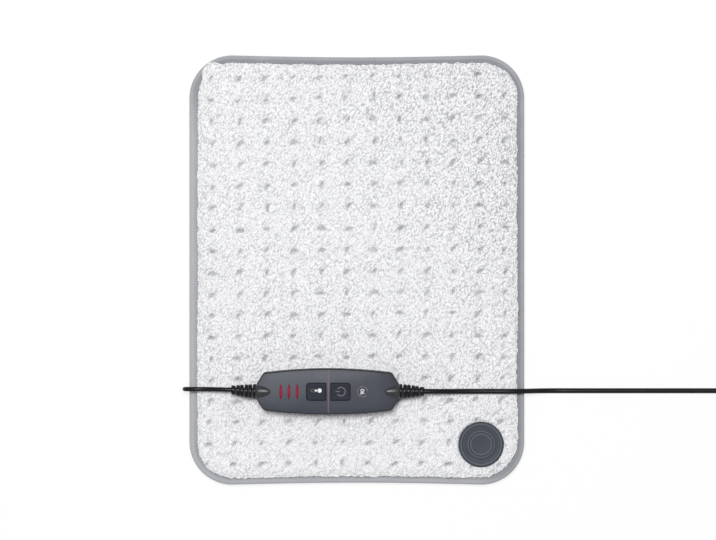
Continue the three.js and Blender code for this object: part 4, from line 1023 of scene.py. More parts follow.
class LeadSettings(bpy.types.PropertyGroup):
    jacket: colour_setting("Jacket", "Colour of the leads, reliefs and plug", tone(8, 9, 15))
    sides: bpy.props.IntProperty(
        name="Roundness", description="Segments in a quarter of a lead's section", default=4
    )


class StageSettings(bpy.types.PropertyGroup):
    fill: bpy.props.FloatProperty(
        name="Fill light", description="Strength of the even light from all round", default=0.33
    )
    lamp: bpy.props.FloatProperty(
        name="Lamp", description="Power of the large soft lamp", default=52.0, unit="POWER"
    )
    floor: colour_setting("Floor", "Colour of the floor", (0.94, 0.94, 0.94))


# Stage


class MakeStage(bpy.types.Operator):
    """Makes the camera, the floor, the lamp and the world's light"""

    bl_idname = "heatpad.make_stage"
    bl_label = "Stage"

    def execute(self, context):
        settings = context.scene.heatpad_stage
        lens = bpy.data.cameras.new("camera")
        lens.sensor_width = SENSOR_WIDTH
        distance = CAMERA_PLACE[2] - PAD_TOP * MM
        lens.lens = SENSOR_WIDTH * distance / (PICTURE_WIDTH * PIXEL)
        camera = link("camera", lens)
        camera.location = CAMERA_PLACE
        context.scene.camera = camera

        work = bmesh.new()
        bmesh.ops.create_grid(work, x_segments=1, y_segments=1, size=FLOOR_SIZE)
        bmesh.ops.translate(work, vec=(0, 0, -FLOOR_DROP), verts=work.verts)
        floor = own_mesh("floor", work)
        floor.data.materials.append(self.floor_finish(settings.floor))

        light = bpy.data.lights.new("soft_lamp", "AREA")
        light.shape = "DISK"
        light.size = LAMP_SIZE
        light.energy = settings.lamp
        lamp = link("soft_lamp", light)
        lamp.location = LAMP_PLACE
        lamp.rotation_mode = "QUATERNION"
        lamp.rotation_quaternion = Vector(LAMP_PLACE).to_track_quat("Z", "Y")
        self.light_world(context.scene, settings.fill)
        context.scene.view_settings.view_transform = "Standard"
        return {"FINISHED"}

    def floor_finish(self, colour):
        """A pale floor that shows nearly white to the camera and keeps the shadows."""
        paint = Paint("floor", colour, 0.9, Specular_IOR_Level=0.0)
        glow = paint.node("ShaderNodeEmission")
        shares = {0: paint.seen_plainly() * 0.8, 1: Value(paint, paint.shader.outputs[0]), 2: glow}
        paint.feed(paint.output.inputs[0], paint.node("ShaderNodeMixShader", shares))
        return paint.material

    def light_world(self, scene, fill):
        """Even light from all round; seen directly or in a reflection the world is white."""
        world = bpy.data.worlds.new("room")
        world.use_nodes = True
        nodes = Nodes(world.node_tree)
        ground = world.node_tree.nodes["Background"]
        ground.inputs["Color"].default_value = (1, 1, 1, 1)
        nodes.feed(ground.inputs["Strength"], nodes.seen_plainly() * (1 - fill) + fill)
        scene.world = world


# Leads


def coil_point(turns):
    """The coil's middle line: turns inwards, a climb over them, and turns outwards."""
    inward = (COIL_TURNS - COIL_CLIMB) / 2
    outward = max(turns - inward - COIL_CLIMB, 0)
    travelled = min(turns, inward) - outward
    climb = float(smooth((turns - inward) / COIL_CLIMB))
    radius = COIL_RADIUS - COIL_PITCH * travelled - COIL_BOW * math.sin(math.pi * climb)
    angle = 2 * math.pi * (turns - 0.25)
    z = COIL_LOW + COIL_PITCH * climb
    return (COIL_X + radius * math.cos(angle), COIL_Y + radius * math.sin(angle), z)


TAIL_X, _, TAIL_Z = coil_point(COIL_TURNS)
PLUG_Z = PLUG_THICKNESS / 2


def coil_points():
    steps = round(COIL_TURNS * COIL_STEPS)
    return [coil_point(k * COIL_TURNS / steps) for k in range(steps + 1)]


def tail_points():
    return [
        (TAIL_X, TAIL_START + s * TAIL_LENGTH, TAIL_Z + (PLUG_Z - TAIL_Z) * float(smooth(s)))
        for s in (0, 0.25, 0.5, 0.75, 1)
    ]


def lead(name, points, diameter, sides, finish, *stands_for):
    """A round lead through points, as a curve."""
    curve = round_curve(name, diameter, sides)
    curve.resolution_u = LEAD_STEPS
    spline = curve.splines.new("BEZIER")
    spline.bezier_points.add(len(points) - 1)
    for knot, point in zip(spline.bezier_points, points):
        knot.co = Vector(point) * MM
        knot.handle_left_type = knot.handle_right_type = "AUTO"
    dress(link(name, curve), finish, "lead_black", stands_for)


def middle_line(piece):
    """Points along the middle of a lead, in millimetres, from a bare copy of its curve."""
    curve = piece.data.copy()
    curve.bevel_depth = 0
    bare = link("bare_line", curve)
    mesh = evaluated_mesh(bare)
    bpy.data.objects.remove(bare)
    bpy.data.curves.remove(curve)
    points = mesh_points(mesh) / MM
    bpy.data.meshes.remove(mesh)
    return [tuple(point) for point in points]


class MakeLeads(bpy.types.Operator):
    """Makes the pad lead, and the mains lead with its coil and tail"""

    bl_idname = "heatpad.make_leads"
    bl_label = "Leads"

    def execute(self, context):
        settings = context.scene.heatpad_leads
        finish = rubber_finish("lead_jacket", settings.jacket)
        lead(
            "pad_lead", PAD_LEAD_ROUTE, PAD_LEAD_DIAMETER, settings.sides, finish,
            "pad_lead_loop", "pad_lead_hidden",
        )
        lead(
            "mains_lead_run", MAINS_LEAD_ROUTE + coil_points() + tail_points(), MAINS_LEAD_DIAMETER,
            settings.sides, finish, "mains_lead", "mains_lead_coil", "mains_lead_tail",
        )
        return {"FINISHED"}


class MakePlug(bpy.types.Operator):
    """Makes the plug with its strain relief and pins, and the strap round the coil"""

    bl_idname = "heatpad.make_plug"
    bl_label = "Plug and coil tie"

    def execute(self, context):
        jacket = context.scene.heatpad_leads.jacket
        self.make_body(jacket)
        self.make_relief(jacket)
        self.make_pins()
        self.make_tie()
        self.declare()
        return {"FINISHED"}

    def make_body(self, jacket):
        """A flat body, waisted for the fingers, through sections along its length."""
        stations = [
            (0, 8.2, 5.6), (0.6, 9.4, 6.4), (2, 10, 6.75), (6, 10.2, 6.8), (11, 10.9, 6.8),
            (15, 12.6, 6.8), (19, 15.6, 6.82), (23, 17.2, 6.85), (28, 17.6, 6.85),
            (31.6, 17.5, 6.8), (32.6, 17.1, 6.5), (33, 16.3, 5.7),
        ]
        rings = [
            [
                (TAIL_X + x, PLUG_Y + along, PLUG_Z + z)
                for x, z in section(half_width, half_height, 0.55, 0.75, 40)
            ]
            for along, half_width, half_height in stations
        ]
        body = own_mesh("plug_grip", ringed(rings))
        seats = [own_mesh("seat", self.at_pin(side, rod(2.25, 29.5, 36))) for side in (-1, 1)]
        grips = [self.grip(side, number) for side in (-1, 1) for number in range(5)]
        carve(body, seats + grips)
        dress(body, rubber_finish("plug_moulding", jacket), "lead_black", ["plug_body"], sharp=30)

    def grip(self, side, number):
        """A shallow channel across a face of the waist."""
        work = rod(1.1, -6, 6, sides=16)
        y, z = PLUG_Y + 4 + 2.6 * number, PLUG_Z + side * 7.45
        return own_mesh("grip", placed(work, TAIL_X, y, z, ALONG_X))

    def at_pin(self, side, work):
        return placed(work, TAIL_X + side * PIN_SPACING / 2, PLUG_Y, PLUG_Z, ALONG_Y)

    def make_relief(self, jacket):
        work = placed(ribbed_relief(4, 20, 3.6, 5.2, 2.9), TAIL_X, PLUG_Y - 20.3, PLUG_Z, ALONG_Y)
        finish = rubber_finish("relief_moulding", jacket)
        finished("plug_relief", work, finish, "lead_black", "plug_strain_relief")

    def make_pins(self):
        """Round pins: a bare tip, and an insulated part next to the body."""
        steel = metal_finish("pin_metal", (0.72, 0.72, 0.7))
        sleeve = moulded_finish("pin_sleeve", (0.02, 0.02, 0.022), 0.45)
        tip = [(0, 30), (1.95, 30), (1.95, 50.5), (1.75, 51.4), (1.2, 52), (0, 52.2)]
        collar = [(1.95, 33), (2.12, 33), (2.12, 42), (2.02, 42.3), (1.95, 42.3)]
        for number, side in ((1, -1), (2, 1)):
            pin, band = (self.at_pin(side, spun(profile, 24)) for profile in (tip, collar))
            finished(f"plug_pin_tip_{number}", pin, steel, "steel", f"plug_pin_{number}")
            finished(f"plug_pin_sleeve_{number}", band, sleeve, "lead_black")

    def make_tie(self):
        """A strap round the bundle of turns, with its end lapped over."""
        middle_x, middle_z, half_x, half_z = 362.7, 6.375, 13.9, 5.625
        profile = ((-4.9, 0), (-4.9, 0.5), (-4.3, 0.62), (4.3, 0.62), (4.9, 0.5), (4.9, 0))
        rounds = [
            [
                (middle_x + x, COIL_Y + width, middle_z + z)
                for x, z in section(half_x + out, half_z + out, 0.42, 0.42, 48)
            ]
            for width, out in profile
        ]
        strap = ringed(list(zip(*rounds)), closed=True)
        tab = slab(11, 9.4, 12.66, 13.2, 360, COIL_Y, 0.25)
        finish = woven_finish("tie_cloth", tone(38, 39, 43), 0.4)
        finished("coil_strap", joined(strap, tab), finish, "tie_black", "coil_tie")

    def declare(self):
        """Looks up the two leads and the pieces made on them."""
        find = bpy.data.objects.get
        find("pad_lead")
        names = ["plug_grip", "plug_relief", "coil_strap"]
        names += [f"plug_pin_tip_{n}" for n in (1, 2)] + [f"plug_pin_sleeve_{n}" for n in (1, 2)]
        find("mains_lead_run")
        [find(n) for n in names]


def rib_radius(number, count, first, last):
    return first + (last - first) * (number / (count - 1)) ** RELIEF_TAPER


def ribbed(count, length, first, last, core):
    """A relief's profile of radius and height: rounded ribs on a core, closed at both ends."""
    pitch = length / count
    profile = [(0, 0)]
    for k in range(count):
        radius = rib_radius(k, count, first, last)
        start = k * pitch
        rib = pitch if k == count - 1 else pitch * RIB_SHARE
        profile += [
            (radius - 0.5, start), (radius - 0.12, start + 0.12), (radius, start + 0.4),
            (radius, start + rib - 0.4), (radius - 0.12, start + rib - 0.12),
            (radius - 0.5, start + rib),
        ]
        if k < count - 1:
            profile += [(core, start + rib), (core, start + pitch)]
    profile.append((0, length))
    return profile


def relief_web(number, count, length, first, last):
    """A bridge between two ribs: over one half of the relief, or across its middle, in turn."""
    pitch = length / count
    radius = rib_radius(number + 0.5, count, first, last) - 0.4
    low, high = (number + 0.5) * pitch, (number + 1.3) * pitch
    if number % 2 == 0:
        return slab(1.5 * radius, 0.9 * radius, low, high, 0, -0.45 * radius)
    return slab(0.8 * radius, 1.9 * radius, low, high, 0, 0)


def ribbed_relief(count, length, first, last, core):
    """A ribbed strain relief that stands upright on the origin."""
    webs = [relief_web(k, count, length, first, last) for k in range(count - 1)]
    ribs = spun(ribbed(count, length, first, last, core), 40)
    return joined(ribs, *webs)


# Pad


class MakeFront(bpy.types.Operator):
    """Makes the tufted terry front as one closed padded form"""

    bl_idname = "heatpad.make_front"
    bl_label = "Terry front"

    EDGE = 7.9  # inset of the pile's ragged edge
    RIMS = {  # inset and height of each rim below it, down to the one that closes the front
        1: (8.5, 9.3), 2: (9.6, 8.7), 3: (2.2, 8.6), 4: (2.2, 7.7), 5: (20.5, FRONT_BOTTOM),
    }
    FLAP_X, FLAP_Y, FLAP_SIZE = -133, 182, 9.5  # where the pile folds over the binding

    def execute(self, context):
        settings = context.scene.heatpad_pad
        work = square(*cell_counts(self.EDGE, settings.pitch / MM))
        open_round(work, NECK_RADIUS + 2, self.EDGE)
        edges = drop_rims(work, len(self.RIMS))
        bmesh.ops.triangle_fill(work, edges=edges, use_beauty=False)
        bmesh.ops.recalc_face_normals(work, faces=work.faces)
        piece = own_mesh("terry_front", work)
        self.shape(piece.data, settings)
        finish = terry_finish(settings.terry, settings.terry_shade)
        dress(piece, finish, "terry_white", ["front_cover"], sharp=0)
        return {"FINISHED"}

    def shape(self, mesh, settings):
        points = mesh_points(mesh)
        across, along = points[:, 0], points[:, 1]
        rim = np.round(-points[:, 2]).astype(int)
        x, y = fit_outline(across, along, self.EDGE)
        near_hole = cap_distance(x, y) < NECK_RADIUS + 6
        top_x, top_y, lift = self.ragged_edge(x, y, across, along)
        z, pile, tuft = self.surface(top_x, top_y, lift, settings)
        lean = 0.5 * (1 - tuft)
        top_x = top_x + lean * drift(x, y, 1.6, 21) * close_inside(top_x, top_y)
        top_y = top_y + lean * drift(x, y, 1.6, 22) * close_inside(top_x, top_y)

        new_x, new_y, new_z = top_x.copy(), top_y.copy(), z.copy()
        for number, (rim_inset, height) in self.RIMS.items():
            here = (rim == number) & ~near_hole
            new_x[here], new_y[here] = fit_outline(across[here], along[here], rim_inset)
            new_z[here] = height
        hole = near_hole & ((rim > 0) | on_hole(mesh))
        angle = np.arctan2(y - ENTRY_Y, x - ENTRY_X)[hole]
        radius = NECK_RADIUS + 0.6
        new_x[hole] = ENTRY_X + radius * np.cos(angle)
        new_y[hole] = ENTRY_Y + radius * np.sin(angle)
        top = z[hole & (rim == 0)].mean()
        new_z[hole] = top + (FRONT_BOTTOM - top) * rim[hole] / len(self.RIMS)
        move_points(mesh, new_x, new_y, new_z)
        # The rims below the pile's edge get a low pile number, which the finish paints as shade
        note(mesh, "pile", np.where(rim == 0, pile, 0.2))
        note(mesh, "tuft", np.where(rim == 0, np.clip(tuft, 0, 1), 0))

    def ragged_edge(self, x, y, across, along):
        """Where the pile's uneven edge puts each point, and how far the cloth is lifted there."""
        ragged = 0.9 * drift(x, y, 44, 2) + 0.7 * drift(x, y, 5.5, 3) + 0.8 * drift(x, y, 1.9, 4)
        flap = np.exp(-((np.hypot(x - self.FLAP_X, y - self.FLAP_Y) / self.FLAP_SIZE) ** 4))
        close = smooth((16 - edge_distance(x, y)) / 9)
        top = smooth((y - 150) / 40) * 0.9
        right = smooth((x - 110) / 36) * 1.6
        bottom = smooth((-y - 150) / 38) * 2.0
        corner = smooth((x - y - 296) / 28)
        reach = np.maximum.reduce([top, right, bottom]) * (1 - 0.9 * corner)
        inset = self.EDGE - 0.2 + (ragged * 0.8 - 7.0 * flap - reach) * close
        lift = read_grid(self.puffs(), across, along) + (0.9 * flap + 0.25 * reach) * close
        return *fit_outline(across, along, inset), lift

    def puffs(self):
        """How far the front puffs up between its tufts."""
        return puffed_sheet(self.EDGE)

    def surface(self, x, y, lift, settings):
        """Height of the front, how high its pile stands there, and how much of a tuft it is."""
        inside = edge_distance(x, y)
        drawn, tuft = tufts(x, y)
        pile = pile_loops(x, y, settings.loop / MM)
        height = settings.loop_height / MM
        z = plain_level(inside) + lift - drawn * smooth((inside - 8) / 12)
        z += (pile - 0.4) * height * (1 - 0.4 * np.clip(tuft, 0, 1))
        z = np.minimum(z, PAD_TOP + 0.2)
        under = smooth((CAP_RADIUS + 1.3 - cap_distance(x, y)) / 1.6)
        z = z * (1 - under) + np.minimum(z, CAP_UNDERSIDE - 0.35) * under
        return z, pile, tuft


def close_inside(x, y):
    """1 away from the pad's edge and the cap, so that loops lean only there."""
    return smooth((edge_distance(x, y) - 9) / 6) * smooth((cap_distance(x, y) - 22) / 4)


def on_hole(mesh):
    """Which points of a closed-off grid lie on the rim of the lead entry's opening."""
    flags = np.zeros(len(mesh.vertices), bool)
    height = mesh_points(mesh)[:, 2]
    pairs = np.array([edge.vertices[:] for edge in mesh.edges])
    drop = np.abs(height[pairs[:, 0]] - height[pairs[:, 1]]) > 0.5
    flags[pairs[drop].ravel()] = True
    return flags


class MakeBinding(bpy.types.Operator):
    """Makes the ribbed tape round the pad's edge and the stitches that hold it"""

    bl_idname = "heatpad.make_binding"
    bl_label = "Edge binding"

    PROFILE = [  # inset and height, from the inner edge above, round the outside, and back within
        (9.0, 8.75), (8.2, 8.95), (7.0, 9.35), (5.6, 9.8), (3.6, 9.95), (1.9, 9.65), (0.7, 9.0),
        (0.12, 8.1), (0.0, 7.4), (0.12, 6.7), (0.7, 5.8), (1.9, 5.15), (3.4, 4.95), (5.4, 4.95),
        (7.3, 5.1), (7.9, 5.45), (7.4, 5.8), (1.4, 6.0), (1.4, 8.5), (7.4, 8.6),
    ]
    OUTSIDE = 15  # points of the profile that show
    STEPS_PER_RIB = 4
    STITCH_PITCH = 3.4
    STITCH_INSET = 5.9
    STITCH = (2.4, 0.6, 0.42)

    def execute(self, context):
        settings = context.scene.heatpad_pad
        self.make_tape(settings)
        self.make_stitches(settings)
        return {"FINISHED"}

    def make_tape(self, settings):
        count = round(edge_length() / (settings.rib / MM)) * self.STEPS_PER_RIB
        x, y, way_x, way_y, perimeter = edge_run(count)
        turns = len(self.PROFILE)
        piece = own_mesh("edge_tape", square(count, turns))
        points = mesh_points(piece.data)
        k = np.round((points[:, 0] + 1) / 2 * count).astype(int) % count
        m = np.round((points[:, 1] + 1) / 2 * turns).astype(int) % turns
        inset, z = np.array(self.PROFILE)[m].T
        shown = m < self.OUTSIDE
        rib = 0.5 + 0.5 * np.cos(2 * math.pi * k / self.STEPS_PER_RIB)
        run = k * perimeter / count
        wander = 0.3 * drift(run, run * 0, 17, 31)
        inset = inset + wander * np.clip(inset / BINDING_WIDTH, 0, 1)
        outward = np.sign(z - BINDING_MIDDLE) * 0.1 * rib * shown
        z = z + outward + 0.12 * drift(run, run * 0 + 9, 11, 32) * shown
        inset = np.maximum(inset - 0.1 * rib * (inset < 1), 0)
        innermost = self.PROFILE[0][0]
        self.lay_map(piece.data, run, np.abs(inset - innermost))
        note(piece.data, "rib", rib)
        move_points(piece.data, x[k] - inset * way_x[k], y[k] - inset * way_y[k], z)
        face_outwards(piece.data, weld=2e-6)
        finish = binding_finish(settings.binding)
        dress(piece, finish, "binding_grey", ["edge_binding"], sharp=60)

    def lay_map(self, mesh, run, across):
        """A UV map of the tape in metres: along it, and in from its inner edge."""
        layer = mesh.uv_layers.new(name="cloth")
        corner = np.zeros(len(mesh.loops), int)
        mesh.loops.foreach_get("vertex_index", corner)
        place = np.stack([run[corner], across[corner]], 1) * MM
        layer.data.foreach_set("uv", place.astype(np.float32).ravel())

    def make_stitches(self, settings):
        """Lock stitches along the tape's inner edge, above and below."""
        count = round(edge_length() / self.STITCH_PITCH)
        x, y, way_x, way_y, _ = edge_run(count)
        work = bmesh.new()
        bmesh.ops.create_uvsphere(work, u_segments=6, v_segments=4, radius=0.5)
        piece = own_mesh("binding_stitches", work)
        each = len(piece.data.vertices)
        repeat = piece.modifiers.new("repeat", "ARRAY")
        repeat.count = 2 * count
        repeat.use_relative_offset = False
        settle(piece)
        points = mesh_points(piece.data)
        number = np.arange(len(points)) // each
        k, below = number % count, number // count
        along, across, up = points.T * np.array([self.STITCH]).T
        inset = self.STITCH_INSET + across
        level = np.where(below, BINDING_BOTTOM - 0.08, BINDING_TOP + 0.05)
        px = x[k] - inset * way_x[k] - along * way_y[k]
        py = y[k] - inset * way_y[k] + along * way_x[k]
        move_points(piece.data, px, py, level + up)
        dress(piece, print_finish("stitching", shaded(settings.binding, 0.72)), "binding_grey")


def underside(x, y):
    """Height of the back cloth's outside: level, rising to the binding, hollow over the lead."""
    inside = edge_distance(x, y)
    shares = [0.0, 0.08, 0.3, 0.6, 1.0]
    heights = [0.8, 0.64, 0.33, 0.11, 0.0]
    rise = np.interp((inside - BINDING_WIDTH) / UNDERSIDE_SLOPE, shares, heights) * SEAM_HEIGHT
    hidden = middle_line(bpy.data.objects["pad_lead"])[HIDDEN_FROM * LEAD_STEPS:]
    beyond_edge = (-170, -111, 0)
    beside = route_distance(x, y, [beyond_edge] + hidden)
    hollow = SLEEVE_HEIGHT * (1 - smooth((beside - 2.2) / 1.9))
    spout = (y > ENTRY_Y) & (y < PAD_LEAD_ROUTE[-1][1] - 0.2)
    spout_hollow = SPOUT_HEIGHT * (1 - smooth((np.abs(x - ENTRY_X) - 5.6) / 1.6)) * spout
    recess = BASE_RECESS * (1 - smooth((cap_distance(x, y) - CAP_RADIUS - 0.2) / 1.2))
    return np.maximum.reduce([rise, hollow, spout_hollow, recess])


class MakeBack(bpy.types.Operator):
    """Makes the back cloth, with the sleeve that the pad lead lies in"""

    bl_idname = "heatpad.make_back"
    bl_label = "Back cloth"

    EDGE = 8.2
    CELL = 1.65

    def execute(self, context):
        work = square(*cell_counts(self.EDGE, self.CELL))
        open_round(work, NECK_RADIUS + 1.2, self.EDGE)
        for face in work.faces:
            face.normal_flip()
        piece = own_mesh("back_cloth_sheet", work)
        points = mesh_points(piece.data)
        x, y = fit_outline(points[:, 0], points[:, 1], self.EDGE)
        z = underside(x, y)
        quilt = 0.25 * drift(x, y, 12, 41) * smooth((edge_distance(x, y) - 12) / 20)
        z = z + np.where(z < 0.05, np.abs(quilt), 0)
        move_points(piece.data, x, y, z)
        finish = woven_finish("back_weave", context.scene.heatpad_pad.back, 0.55)
        dress(piece, finish, "back_cloth", ["back_cover"], sharp=0)
        thicken(piece, 0.9)
        return {"FINISHED"}


class MakeLayers(bpy.types.Operator):
    """Makes the layers between the covers: wadding, carrier cloth and heating wire"""

    bl_idname = "heatpad.make_layers"
    bl_label = "Inner layers"

    def execute(self, context):
        self.make_wadding()
        self.make_carrier()
        self.make_wire()
        return {"FINISHED"}

    def sheet_places(self, piece, inset):
        """Where the points of a layer's grid lie, and which of them are on a dropped rim."""
        points = mesh_points(piece.data)
        return *fit_outline(points[:, 0], points[:, 1], inset), points[:, 2] < -0.5

    def make_wadding(self):
        inset = 13
        work = square(76, 98)
        open_round(work, CAP_RADIUS + 2.5, inset)
        edges = drop_rims(work, 1)
        bmesh.ops.triangle_fill(work, edges=edges, use_beauty=False)
        piece = own_mesh("rear_wadding", work)
        x, y, top = self.sheet_places(piece, inset)
        low = np.minimum(underside(x, y) + 1.4, 6.7)
        z = np.where(top, 7.0, low + 0.15 * np.abs(drift(x, y, 9, 51)) * (low < 6))
        move_points(piece.data, x, y, z)
        face_outwards(piece.data)
        dress(piece, wadding_finish("wadding_fibres", (0.86, 0.85, 0.8)), "wadding", ["rear_padding"])

    def make_carrier(self):
        inset = 22
        work = square(67, 89)
        open_round(work, NECK_RADIUS + 2.5, inset)
        piece = own_mesh("carrier_sheet", work)
        x, y, _ = self.sheet_places(piece, inset)
        move_points(piece.data, x, y, np.full(x.shape, 7.65))
        finish = woven_finish("carrier_weave", (0.78, 0.75, 0.67), 0.8)
        dress(piece, finish, "carrier_cloth", ["wire_carrier"], sharp=0)
        thicken(piece, 0.35)

    def make_wire(self):
        """The wire's runs across the carrier and its way back, as the CAD has them."""
        runs, first_y, last_y, half_span, return_x, height = 10, -165.5, 165.5, 112, 128, 8.7
        pitch = (last_y - first_y) / (runs - 1)
        bend = pitch / 2
        points = [(ENTRY_X - NECK_RADIUS - 0.6, first_y, height)]
        for run in range(runs - 1):
            side = -1 if run % 2 == 0 else 1
            y = first_y + run * pitch
            for i in range(9):
                angle = math.pi * i / 8
                x = side * (half_span - bend + bend * math.sin(angle))
                points.append((x, y + bend - bend * math.cos(angle), height))
        corner = return_x - half_span
        for i in range(5):
            angle = math.pi / 2 * i / 4
            x = half_span + corner * math.sin(angle)
            points.append((x, last_y - corner + corner * math.cos(angle), height))
        points.append((return_x, ENTRY_Y + NECK_RADIUS, height))
        reach = NECK_RADIUS * math.sqrt(0.5) + 0.3
        points.append((ENTRY_X + reach, ENTRY_Y + reach, height))
        curve = round_curve("heating_wire_run", 1.4, 2)
        spline = curve.splines.new("POLY")
        spline.points.add(len(points) - 1)
        for knot, point in zip(spline.points, points):
            knot.co = (*(Vector(point) * MM), 1)
        finish = rubber_finish("wire_jacket", (0.65, 0.4, 0.2))
        dress(link(curve.name, curve), finish, "wire_jacket", ["heating_wire"])


class MakeEntry(bpy.types.Operator):
    """Makes the round cap of the lead entry"""

    bl_idname = "heatpad.make_entry"
    bl_label = "Lead entry"

    def execute(self, context):
        colour = shaded(context.scene.heatpad_control.housing, 0.84, 0.87, 0.93)
        face = CAP_TOP - 0.85
        face_profile = [  # radius, and height over the plain face
            (0, 0), (8.9, 0), (9.1, 0.05), (9.35, 0.34), (9.8, 0.42), (10.2, 0.3), (10.4, -0.05),
            (10.6, -0.25), (11.3, -0.25), (11.55, 0.05), (11.8, 0.34), (12.2, 0.4), (12.6, 0.25),
            (12.9, -0.2), (13.3, -0.35), (15.9, -0.35), (16.2, -0.2), (16.4, 0.1), (16.8, 0.2),
            (17.9, 0.25), (18.2, 0.45), (18.5, 0.75), (19, 0.85), (19.7, 0.78), (20.4, 0.45),
            (20.9, -0.15), (CAP_RADIUS, -0.9),
        ]
        profile = [(radius, face + over) for radius, over in face_profile]
        profile += [(CAP_RADIUS, CAP_UNDERSIDE + 1.2), (20.6, CAP_UNDERSIDE), (0, CAP_UNDERSIDE)]
        cap = placed(spun(profile, 96), ENTRY_X, ENTRY_Y, 0)
        # Radius, width and strength of each ring of painted highlight
        painted_highlight_rings = [(9.6, 0.75, 0.9), (12.2, 0.75, 0.8), (16.2, 0.5, 0.5), (18.6, 0.8, 0.85)]
        finish = cap_finish(colour, painted_highlight_rings)
        finished("entry_disc", cap, finish, "housing_dark", "entry_cap", sharp=45)
        return {"FINISHED"}


# Controller


def bowed(start, bend, end, steps):
    """Points of a quadratic curve after its start."""
    points = []
    for k in range(1, steps + 1):
        t = k / steps
        a, b, c = (1 - t) ** 2, 2 * t * (1 - t), t * t
        points.append(tuple(a * s + b * m + c * e for s, m, e in zip(start, bend, end)))
    return points


def control_outline(inset, z):
    """A ring of the controller's outline, drawn in by an inset, at one height."""
    run = CONTROL_CORNER
    rise = CONTROL_CORNER_HALF_WIDTH - CONTROL_END_HALF_WIDTH
    slant = math.hypot(run, rise)
    end = (CONTROL_HALF_LENGTH - inset, CONTROL_END_HALF_WIDTH - inset * (slant - rise) / run)
    corner_x = CONTROL_HALF_LENGTH - run - inset * (slant - run) / rise
    corner_y = CONTROL_CORNER_HALF_WIDTH - inset
    down = CONTROL_CORNER_RUN / slant
    slope = (corner_x + down * run, corner_y - down * rise)
    side_x = corner_x - CONTROL_CORNER_RUN
    halfway = tuple((a + b) / 2 for a, b in zip(end, slope))
    middle_y = CONTROL_HALF_WIDTH - inset
    quarter = [end] + bowed(end, halfway, slope, 6)
    quarter += bowed(slope, (corner_x, corner_y), (side_x, corner_y), 8)
    side = bowed((side_x, corner_y), (0, 2 * middle_y - corner_y), (-side_x, corner_y), 40)
    half = quarter + side + [(-x, y) for x, y in reversed(quarter[:-1])]
    ring = half + [(-x, -y) for x, y in half]
    return [(x + CONTROL_X, y + CONTROL_Y, z) for x, y in ring]


def cover_fall(x, y, crown):
    """How far the cover's face lies below its middle: towards its sides, and at its sloping ends."""
    across = (y - CONTROL_Y) / CONTROL_HALF_WIDTH
    beyond = abs(x - CONTROL_X) - (CONTROL_HALF_LENGTH - CONTROL_SLOPE_LENGTH)
    slope = max(beyond / CONTROL_SLOPE_LENGTH, 0) ** 1.5
    return crown * across ** 2 + CONTROL_END_FALL * slope


def key_ring(side, growth, z):
    """A key's outline: square beside the bridge, rounded on its outer side."""
    near = BRIDGE_X + side * (BRIDGE_WIDTH / 2 - growth)
    far = BRIDGE_X + side * (BRIDGE_WIDTH / 2 + KEY_LENGTH + growth)
    top = CONTROL_Y + KEY_WIDTH / 2 + growth
    bottom = CONTROL_Y - KEY_WIDTH / 2 - growth
    radius = KEY_CORNER + growth
    inner = 0.5
    corners = [
        (near, bottom, 1, 1, inner), (far, bottom, -1, 1, radius),
        (far, top, -1, -1, radius), (near, top, 1, -1, inner),
    ]
    ring = []
    for number, (x, y, sx, sy, r) in enumerate(corners):
        sx *= side
        first = (x, y + sy * r) if number % 2 == 0 else (x + sx * r, y)
        last = (x + sx * r, y) if number % 2 == 0 else (x, y + sy * r)
        ring += [first, *bowed(first, (x, y), last, 8)]
    return [(x, y, z) for x, y in ring]


